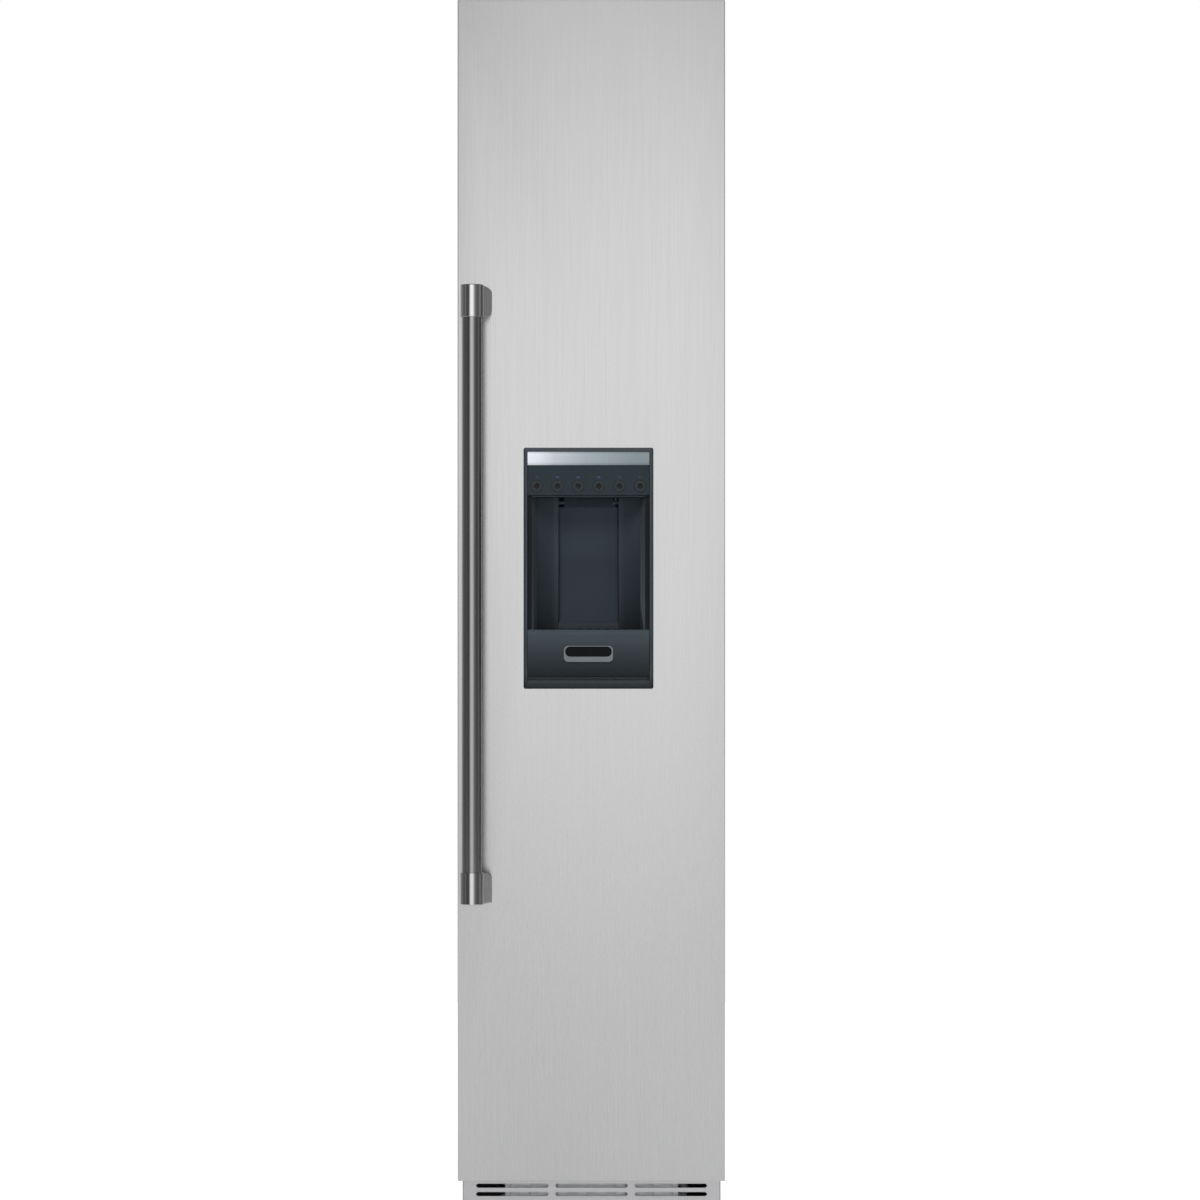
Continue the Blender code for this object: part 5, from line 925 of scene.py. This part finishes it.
def make_cheeks(plastic, shade_dark_cover_plastic, kerb_plastic):
    """The recess's lining: curved cheeks, a cover before the paddle's pivot coloured darker as painted shade,
    and a kerb before its foot.
    """
    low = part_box("niche_housing")[0]
    strip_low, strip_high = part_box("dispenser_strip")
    paddle_low, paddle_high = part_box("paddle")
    tray_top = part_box("tray_grille")[1].z
    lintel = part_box("control_fascia")[0].z
    middle = (strip_low.x + strip_high.x) / 2
    opening = (strip_high.x - strip_low.x) / 2 - SEAL_WIDTH + LIP
    depth = paddle_low.y - CHEEK_CLEAR - low.y
    face = low.y + depth
    bottom = tray_top + CHEEK_LIFT
    top = lintel - CHEEK_DROP
    ears = paddle_high.z - 2 * PADDLE_BAR - CHEEK_LIFT
    for side, sign in (("left", -1), ("right", 1)):
        line = [(opening - (opening - CHEEK_INNER) * a, low.y + depth * b) for a, b in CHEEK_PROFILE]
        front = spline_through(line, CHEEK_STEPS)
        back = [(a, b + CHEEK_SHEET) for a, b in reversed(front)]
        outline = [(middle + sign * a, b) for a, b in front + back]
        shape = extruded([outline], facing_up, bottom, top)
        edge = face + CHEEK_SHEET / 2
        inner = middle + sign * CHEEK_INNER
        outer = middle + sign * (CHEEK_INNER + CHEEK_SHEET)
        wall = [(inner, edge), (outer, edge), (outer, edge + CHEEK_RETURN), (inner, edge + CHEEK_RETURN)]
        added(shape, extruded([wall], facing_up, bottom, ears))
        piece(f"niche_cheek_{side}", shape, "door", plastic, "dark_plastic")
    # painted shade: the cover is coloured darker than the cheeks, for the shade of the recess above the
    # paddle
    cover_low = (middle - COVER_HALF, ears + COVER_RISE)
    outline = rounded_rectangle(cover_low, (middle + COVER_HALF, top), LIP / 2)
    cover = extruded([outline], facing_front, face, face + CHEEK_SHEET)
    piece("pivot_cover", cover, "door", shade_dark_cover_plastic, "dark_plastic")
    kerb_high = (middle + CHEEK_INNER, bottom + KERB_HEIGHT)
    outline = rounded_rectangle((middle - CHEEK_INNER, bottom), kerb_high, LIP / 3)
    kerb = extruded([outline], facing_front, face, face + CHEEK_SHEET)
    piece("niche_kerb", kerb, "door", kerb_plastic, "dark_plastic")


def make_indicators(lit, unlit):
    """A small flush lens over each key; three of them glow faintly."""
    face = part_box("control_fascia")[0].y
    for i in range(KEY_COUNT):
        middle, height = key_centre(i)
        height += LENS_RISE
        low = (middle - LENS_WIDTH / 2, height - LENS_HEIGHT / 2)
        high = (middle + LENS_WIDTH / 2, height + LENS_HEIGHT / 2)
        outline = rounded_rectangle(low, high, LENS_HEIGHT / ROUND_END_PARTS)
        shape = extruded([outline], facing_front, face - SKIN, face + LIP)
        finish = lit if i in LIT_KEYS else unlit
        piece(f"indicator_{i + 1}", shape, "door", finish, "dark_plastic")


def make_return(plastic):
    """The trim that closes the back of the panel's folds, round the slab."""
    low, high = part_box("door_panel")
    slab_low, slab_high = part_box("door_shell")
    corner_low = (low.x + RETURN_GAP, low.z + RETURN_GAP)
    corner_high = (high.x - RETURN_GAP, high.z - RETURN_GAP)
    outer = rounded_rectangle(corner_low, corner_high, LIP)
    inner = rounded_rectangle((slab_low.x, slab_low.z), (slab_high.x, slab_high.z), 2 * LIP)
    shape = extruded([outer, inner], facing_front, high.y - SKIN, high.y - SKIN + RETURN_SHEET)
    piece("panel_return", shape, "door", plastic, "dark_plastic")


def screws(name, finish, places, place):
    """Pan-head screws with round sockets; a function puts each from its plane's coordinates and height."""
    shape = bmesh.new()
    profile = [(0, 0), (SCREW_RADIUS, 0), (SCREW_RADIUS, SCREW_RISE / 2)]
    profile += [(SCREW_RADIUS * SCREW_SHOULDER, SCREW_RISE * SCREW_SHOULDER)]
    profile += [(SCREW_RADIUS * SCREW_CROWN, SCREW_RISE), (SCREW_SOCKET, SCREW_RISE)]
    profile += [(SCREW_SOCKET * SOCKET_TAPER, SCREW_RISE / 3), (0, SCREW_RISE / 4)]
    for spot in places:
        added(shape, lathed(profile, spot, place, SCREW_STEPS))
    piece(name, shape, "root", finish, "polished_steel")


def make_screws(steel):
    """The screws of the back sheet, the machine cover and the hinge plates."""
    low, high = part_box("back_panel")
    count = int((high.z - low.z) / SCREW_PITCH) + 1
    pitch = (high.z - low.z - 2 * SCREW_MARGIN) / (count - 1)
    spots = []
    for i in range(count):
        z = low.z + SCREW_MARGIN + i * pitch
        spots += [(low.x + SCREW_MARGIN, z), (high.x - SCREW_MARGIN, z)]
    back = high.y - SCREW_RISE
    screws("back_screws", steel, spots, lambda a, b, h: (a, back + h, b))
    low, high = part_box("machine_cover")
    spots = []
    for x in (low.x + SCREW_MARGIN, high.x - SCREW_MARGIN):
        spots += [(x, low.z + 2 * SCREW_MARGIN), (x, high.z - 2 * SCREW_MARGIN)]
    screws("cover_screws", steel, spots, lambda a, b, h: (a, back + h, b))
    low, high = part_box("hinge_plate_top")
    top = high.z
    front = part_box("outer_wrapper")[0].y
    x = (low.x + high.x) / 2
    reach = high.y - front
    spots = [(x, front + reach * share) for share in HINGE_SCREWS]
    screws("hinge_screws", steel, spots, lambda a, b, h: (a, b, top + h))


def make_trims(white):
    """A moulded trim on the front edge of each glass shelf."""
    for i in range(1, SHELF_COUNT + 1):
        low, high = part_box(f"shelf_{i}")
        corner_low = (low.y - TRIM_LIP, low.z - TRIM_LIP)
        corner_high = (low.y + TRIM_LAP, high.z + TRIM_LIP)
        outline = rounded_rectangle(corner_low, corner_high, TRIM_LIP)
        shape = extruded([outline], facing_side, low.x + TRIM_INSET, high.x - TRIM_INSET)
        piece(f"shelf_trim_{i}", shape, "root", white, "white_plastic")


def make_lamp(diffuser):
    """The lamp strip under the compartment's ceiling, behind its mouth."""
    low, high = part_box("inner_liner")
    top = high.z - CEILING_SHEET
    bottom = top - LAMP_HEIGHT
    front = low.y + LAMP_SETBACK
    corner_low = (-LAMP_WIDTH / 2, front)
    corner_high = (LAMP_WIDTH / 2, front + LAMP_DEPTH)
    outline = rounded_rectangle(corner_low, corner_high, LAMP_DEPTH / ROUND_END_PARTS)
    shape = extruded([outline], facing_up, bottom, top - SKIN)

    def lower_edge(edge):
        return all(v.co.z < bottom + MERGE for v in edge.verts)

    round_edges(shape, LAMP_HEIGHT / 3, degrees=40, segments=4, chosen=lower_edge)
    piece("lamp_strip", shape, "root", diffuser, "white_plastic")


def repaint(finish, *names):
    """Gives CAD nodes whose shape is right as it is a better finish."""
    for name in names:
        mesh = NODES[name].data
        if not mesh.materials:
            mesh.materials.append(finish)
        for i in range(len(mesh.materials)):
            mesh.materials[i] = finish


def ramp_node(tree, value, stops):
    """A level that eases from stop to stop as a value goes."""
    ramp = tree.nodes.new("ShaderNodeValToRGB")
    ramp.color_ramp.interpolation = "EASE"
    fill_ramp(ramp, [(place, (level, level, level)) for place, level in stops])
    tree.links.new(value, ramp.inputs[0])
    return ramp.outputs[0]


def math_node(tree, operation, first, second):
    """The outcome of an operation on two values, each a number or another node's output."""
    made = tree.nodes.new("ShaderNodeMath")
    made.operation = operation
    feed(tree, made.inputs[0], first)
    feed(tree, made.inputs[1], second)
    return made.outputs[0]


def seen_directly(tree, path):
    """1 where the camera looks at a thing itself or through glass, 0 in its light and reflections."""
    return math_node(tree, "MAXIMUM", path.outputs["Is Camera Ray"], path.outputs["Is Transmission Ray"])


def make_world():
    """A soft studio: a tall bright screen in front, dark flags beside it, white to the camera."""
    world = bpy.data.worlds.new("studio")
    bpy.context.scene.world = world
    world.use_nodes = True
    tree = world.node_tree
    background = tree.nodes["Background"]
    background.inputs["Color"].default_value = (1, 1, 1, 1)
    direction = tree.nodes.new("ShaderNodeTexCoord").outputs["Generated"]
    parts = tree.nodes.new("ShaderNodeSeparateXYZ")
    tree.links.new(direction, parts.inputs[0])
    x, y, z = parts.outputs
    height = math_node(tree, "MULTIPLY", math_node(tree, "ADD", z, 1.0), 0.5)
    turn = math_node(tree, "ARCTAN2", x, math_node(tree, "MULTIPLY", y, -1.0))
    turn = math_node(tree, "ADD", math_node(tree, "DIVIDE", turn, math.tau), 0.5)
    round_stops = [(0.5 + degrees / 360, value) for degrees, value in TURN_STOPS]
    by_turn = ramp_node(tree, turn, round_stops)
    opened = math_node(tree, "MAXIMUM", by_turn, ramp_node(tree, height, OPEN_STOPS))
    level = math_node(tree, "MULTIPLY", ramp_node(tree, height, HEIGHT_STOPS), opened)
    level = math_node(tree, "MULTIPLY", level, WORLD_LEVEL)
    path = tree.nodes.new("ShaderNodeLightPath")
    seen = seen_directly(tree, path)
    unseen = math_node(tree, "MULTIPLY", level, math_node(tree, "SUBTRACT", 1.0, seen))
    tree.links.new(math_node(tree, "ADD", unseen, seen), background.inputs["Strength"])


def make_lights():
    """Soft area lamps, which metal doesn't show."""
    for name, place, target, size, energy in LAMPS:
        light = bpy.data.lights.new(name, "AREA")
        light.shape = "RECTANGLE"
        light.size, light.size_y = size
        light.energy = energy
        lamp = placed(name, light)
        lamp.location = place
        lamp.visible_glossy = False
        aim = Vector(target) - Vector(place)
        lamp.rotation_euler = aim.to_track_quat("-Z", "Y").to_euler()


def make_floor():
    """A pale plain floor, white in view and in reflections but for the object's shadow."""
    shape = bmesh.new()
    bmesh.ops.create_grid(shape, x_segments=1, y_segments=1, size=FLOOR_SIZE)
    floor = placed("floor", mesh_of("floor", shape))
    made = bpy.data.materials.new("floor_paper")
    made.use_nodes = True
    tree = made.node_tree
    shader = tree.nodes["Principled BSDF"]
    shader.inputs["Base Color"].default_value = FLOOR_COLOR
    shader.inputs["Roughness"].default_value = 0.9
    shader.inputs["Specular IOR Level"].default_value = 0.1
    shader.inputs["Emission Color"].default_value = (1, 1, 1, 1)
    path = tree.nodes.new("ShaderNodeLightPath")
    seen = seen_directly(tree, path)
    direct = math_node(tree, "MULTIPLY", seen, FLOOR_SEEN)
    mirrored = math_node(tree, "MULTIPLY", path.outputs["Is Glossy Ray"], FLOOR_MIRRORED)
    tree.links.new(math_node(tree, "MAXIMUM", direct, mirrored), shader.inputs["Emission Strength"])
    floor.data.materials.append(made)


def make_camera():
    """Straight on, at the middle of what the photograph shows."""
    camera = placed("camera", bpy.data.cameras.new("camera"))
    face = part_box("door_panel")[0].y
    camera.location = (VIEW_X, face - VIEW_DISTANCE, VIEW_Z)
    camera.rotation_euler = (math.radians(90), 0, 0)
    camera.data.sensor_width = SENSOR_MM
    camera.data.lens = SENSOR_MM * VIEW_DISTANCE / VIEW_SPAN
    bpy.context.scene.camera = camera


def dress_door_face():
    """The door's panel and handle."""
    steel = brushed("panel_steel", (0.57, 0.57, 0.572), 0.26, (1100.0, 1100.0, 7.0))
    tube_steel = brushed("tube_steel", (0.37, 0.37, 0.374), 0.22, (700.0, 700.0, 9.0))
    ferrule_steel = polished("ferrule_steel", (0.62, 0.62, 0.625), 0.06)
    foot_steel = brushed("foot_steel", (0.60, 0.60, 0.605), 0.30, (500.0, 500.0, 30.0))
    make_panel(steel)
    make_handle(tube_steel, ferrule_steel, foot_steel)


def dress_controls():
    """The dispenser's frame, silver strip, fascia, keys and lenses."""
    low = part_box("dispenser_frame")[0]
    # painted shade: the frame's lowest rims and its chin are darker, as where they face down
    painted_shading = (low.z + SKIN, low.z + FRAME_SHADED_RIMS * RIM_WIDTH, FRAME_PAINTED_SHADING)
    make_frame(moulded("frame_plastic", (0.058, 0.068, 0.076), 0.30, 0.0007, 0.04, COOL, 1.35, painted_shading))
    make_strip()
    make_fascia(moulded("fascia_plastic", (0.013, 0.023, 0.029), 0.3, 0.0004, 0.03, COOL))
    key_plastic = moulded("key_plastic", (0.034, 0.040, 0.042), 0.34, 0.0004, 0.03, COOL)
    dull = {"Specular IOR Level": 0.2}
    lens_plastic = moulded("lens_plastic", (0.004, 0.006, 0.007), 0.2, 0.0003, 0.02, dull)
    make_keys(key_plastic, lens_plastic)
    glow = {"Emission Color": (0.03, 0.12, 0.45, 1), "Emission Strength": 0.16}
    lit = moulded("lit_lens", (0.01, 0.03, 0.07), 0.3, 0.0003, 0.02, glow)
    unlit = moulded("smoked_lens", (0.012, 0.022, 0.028), 0.25, 0.0003, 0.02)
    make_indicators(lit, unlit)


def dress_tray():
    """The drip tray, its grille and its plate."""
    low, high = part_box("drip_tray")
    # painted light and shade: the sill's bulged front is lighter at its top and darker at its foot
    painted_shading = (low.z, high.z, SILL_PAINTED_SHADING)
    sill_plastic = moulded("sill_plastic", (0.030, 0.038, 0.045), 0.38, 0.0010, 0.05, COOL, 1.1, painted_shading)
    grille_plastic = moulded("grille_plastic", (0.050, 0.058, 0.066), 0.42, 0.0008, 0.05, COOL)
    make_sill(sill_plastic, grille_plastic)
    dull = {"Specular IOR Level": 0.1}
    field = moulded("plate_enamel", (0.004, 0.005, 0.006), 0.35, 0.0003, 0.02, dull)
    make_plate(field, polished("rim_metal", (0.19, 0.212, 0.225), 0.28))


def dress_recess():
    """The recess with its seals and lining, the paddle, the nozzle, and the trim behind the panel's folds."""
    dull = {"Specular IOR Level": 0.15}
    make_seals(moulded("seal_black", (0.012, 0.015, 0.018), 0.5, 0.0004, 0.04, dull))
    niche_plastic = moulded("niche_plastic", (0.062, 0.078, 0.092), 0.42, 0.0012, 0.06, COOL)
    smoothed(niche_plastic, "dark_plastic", "niche_housing")
    low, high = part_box("paddle")
    # painted light: the cheeks are lighter toward the top of the recess
    painted_shading = (low.z, high.z, CHEEK_PAINTED_SHADING)
    cheeks = moulded("cheek_plastic", (0.032, 0.041, 0.050), 0.45, 0.0006, 0.06, COOL, 1.2, painted_shading)
    # painted shade: the pivot cover is darker than the cheeks
    cover = moulded("shade_dark_cover_plastic", (0.018, 0.028, 0.038), 0.5, 0.0006, 0.05, COOL)
    kerb = moulded("kerb_plastic", (0.034, 0.042, 0.050), 0.45, 0.0006, 0.06, COOL)
    make_cheeks(cheeks, cover, kerb)
    # painted light: the paddle's upper half is lighter where the fascia above shades it
    painted_shading = ((low.z + high.z) / 2, high.z, PADDLE_PAINTED_SHADING)
    make_paddle(moulded("paddle_plastic", (0.031, 0.041, 0.051), 0.45, 0.0008, 0.06, COOL, 1.35, painted_shading))
    nozzle_plastic = moulded("nozzle_plastic", (0.02, 0.022, 0.025), 0.4, 0.0004)
    smoothed(nozzle_plastic, "silver_trim", "water_nozzle")
    make_return(moulded("return_trim", (0.30, 0.305, 0.31), 0.5, 0.0005))


def dress_inside():
    """The compartment, the door's back and everything they hold."""
    white = moulded("liner_white", (0.86, 0.87, 0.88), 0.36, 0.0016, 0.04, None, 1.02)
    repaint(white, "inner_liner", "door_liner", "evaporator_cover", "auger_motor", "ice_chute", "chute_flap")
    clear = see_through("clear_tub", (0.90, 0.945, 0.965), 0.05, 1.30, 0.0010)
    tubs = ("drawer_lower", "drawer_upper", "ice_container", "door_bin_1", "door_bin_2")
    smoothed(clear, "clear_plastic", *tubs)
    pane = see_through("shelf_glass", (0.86, 0.95, 0.925), 0.02, 1.45, 0.0008)
    repaint(pane, *(f"shelf_{i}" for i in range(1, SHELF_COUNT + 1)))
    rubber = moulded("seal_rubber", (0.50, 0.50, 0.50), 0.7, 0.0015, 0.12, None, 1.1)
    smoothed(rubber, "rubber", "door_gasket")
    cast = brushed("cast_aluminium", (0.70, 0.71, 0.72), 0.42, (300.0, 300.0, 300.0), 0.0008)
    smoothed(cast, "aluminium", "ice_maker", "ice_ejector")
    smoothed(polished("auger_steel", (0.75, 0.75, 0.76), 0.14), "polished_steel", "ice_auger")
    make_lamp(lit_diffuser())
    make_trims(white)


def dress_case():
    """The cabinet's outside, its machines and its base."""
    case = sheet_metal("case_sheet", (0.42, 0.43, 0.44), 0.46, 420.0)
    repaint(case, "outer_wrapper", "base_frame", "door_shell")
    zinc = sheet_metal("back_sheet", (0.62, 0.63, 0.64), 0.4, 300.0)
    repaint(zinc, "back_panel", "machine_cover")
    repaint(foam_finish(), "cabinet_insulation", "door_core")
    repaint(brushed("kick_steel", (0.55, 0.55, 0.56), 0.34, (7.0, 1100.0, 1100.0)), "toe_grille")
    fin = brushed("fin_aluminium", (0.70, 0.71, 0.72), 0.4, (60.0, 60.0, 900.0))
    repaint(fin, "condenser", "evaporator")
    black = moulded("black_moulding", (0.025, 0.025, 0.027), 0.5, 0.0010, 0.08)
    repaint(black, "drain_pan")
    smoothed(black, "black_plastic", "rear_inlets", "fan_shroud", "condenser_fan", "evaporator_fan")
    enamel = moulded("black_enamel_coat", (0.02, 0.02, 0.02), 0.32, 0.0010, 0.10, None, 2.2)
    corners = ("front_left", "front_right", "rear_left", "rear_right")
    feet = (f"levelling_foot_{corner}" for corner in corners)
    smoothed(enamel, "black_enamel", "compressor", *feet)
    pin_steel = polished("hinge_steel", (0.72, 0.72, 0.73), 0.18)
    make_screws(pin_steel)
    smoothed(pin_steel, "polished_steel", "hinge_plate_top", "hinge_plate_bottom")
    bush = moulded("bush_plastic", (0.035, 0.044, 0.05), 0.4, 0.0005)
    smoothed(bush, "dark_plastic", "hinge_bush_top", "hinge_bush_bottom")


dress_door_face()
dress_controls()
dress_tray()
dress_recess()
dress_inside()
dress_case()
make_world()
make_lights()
make_floor()
make_camera()
bpy.context.scene.view_settings.view_transform = "Standard"
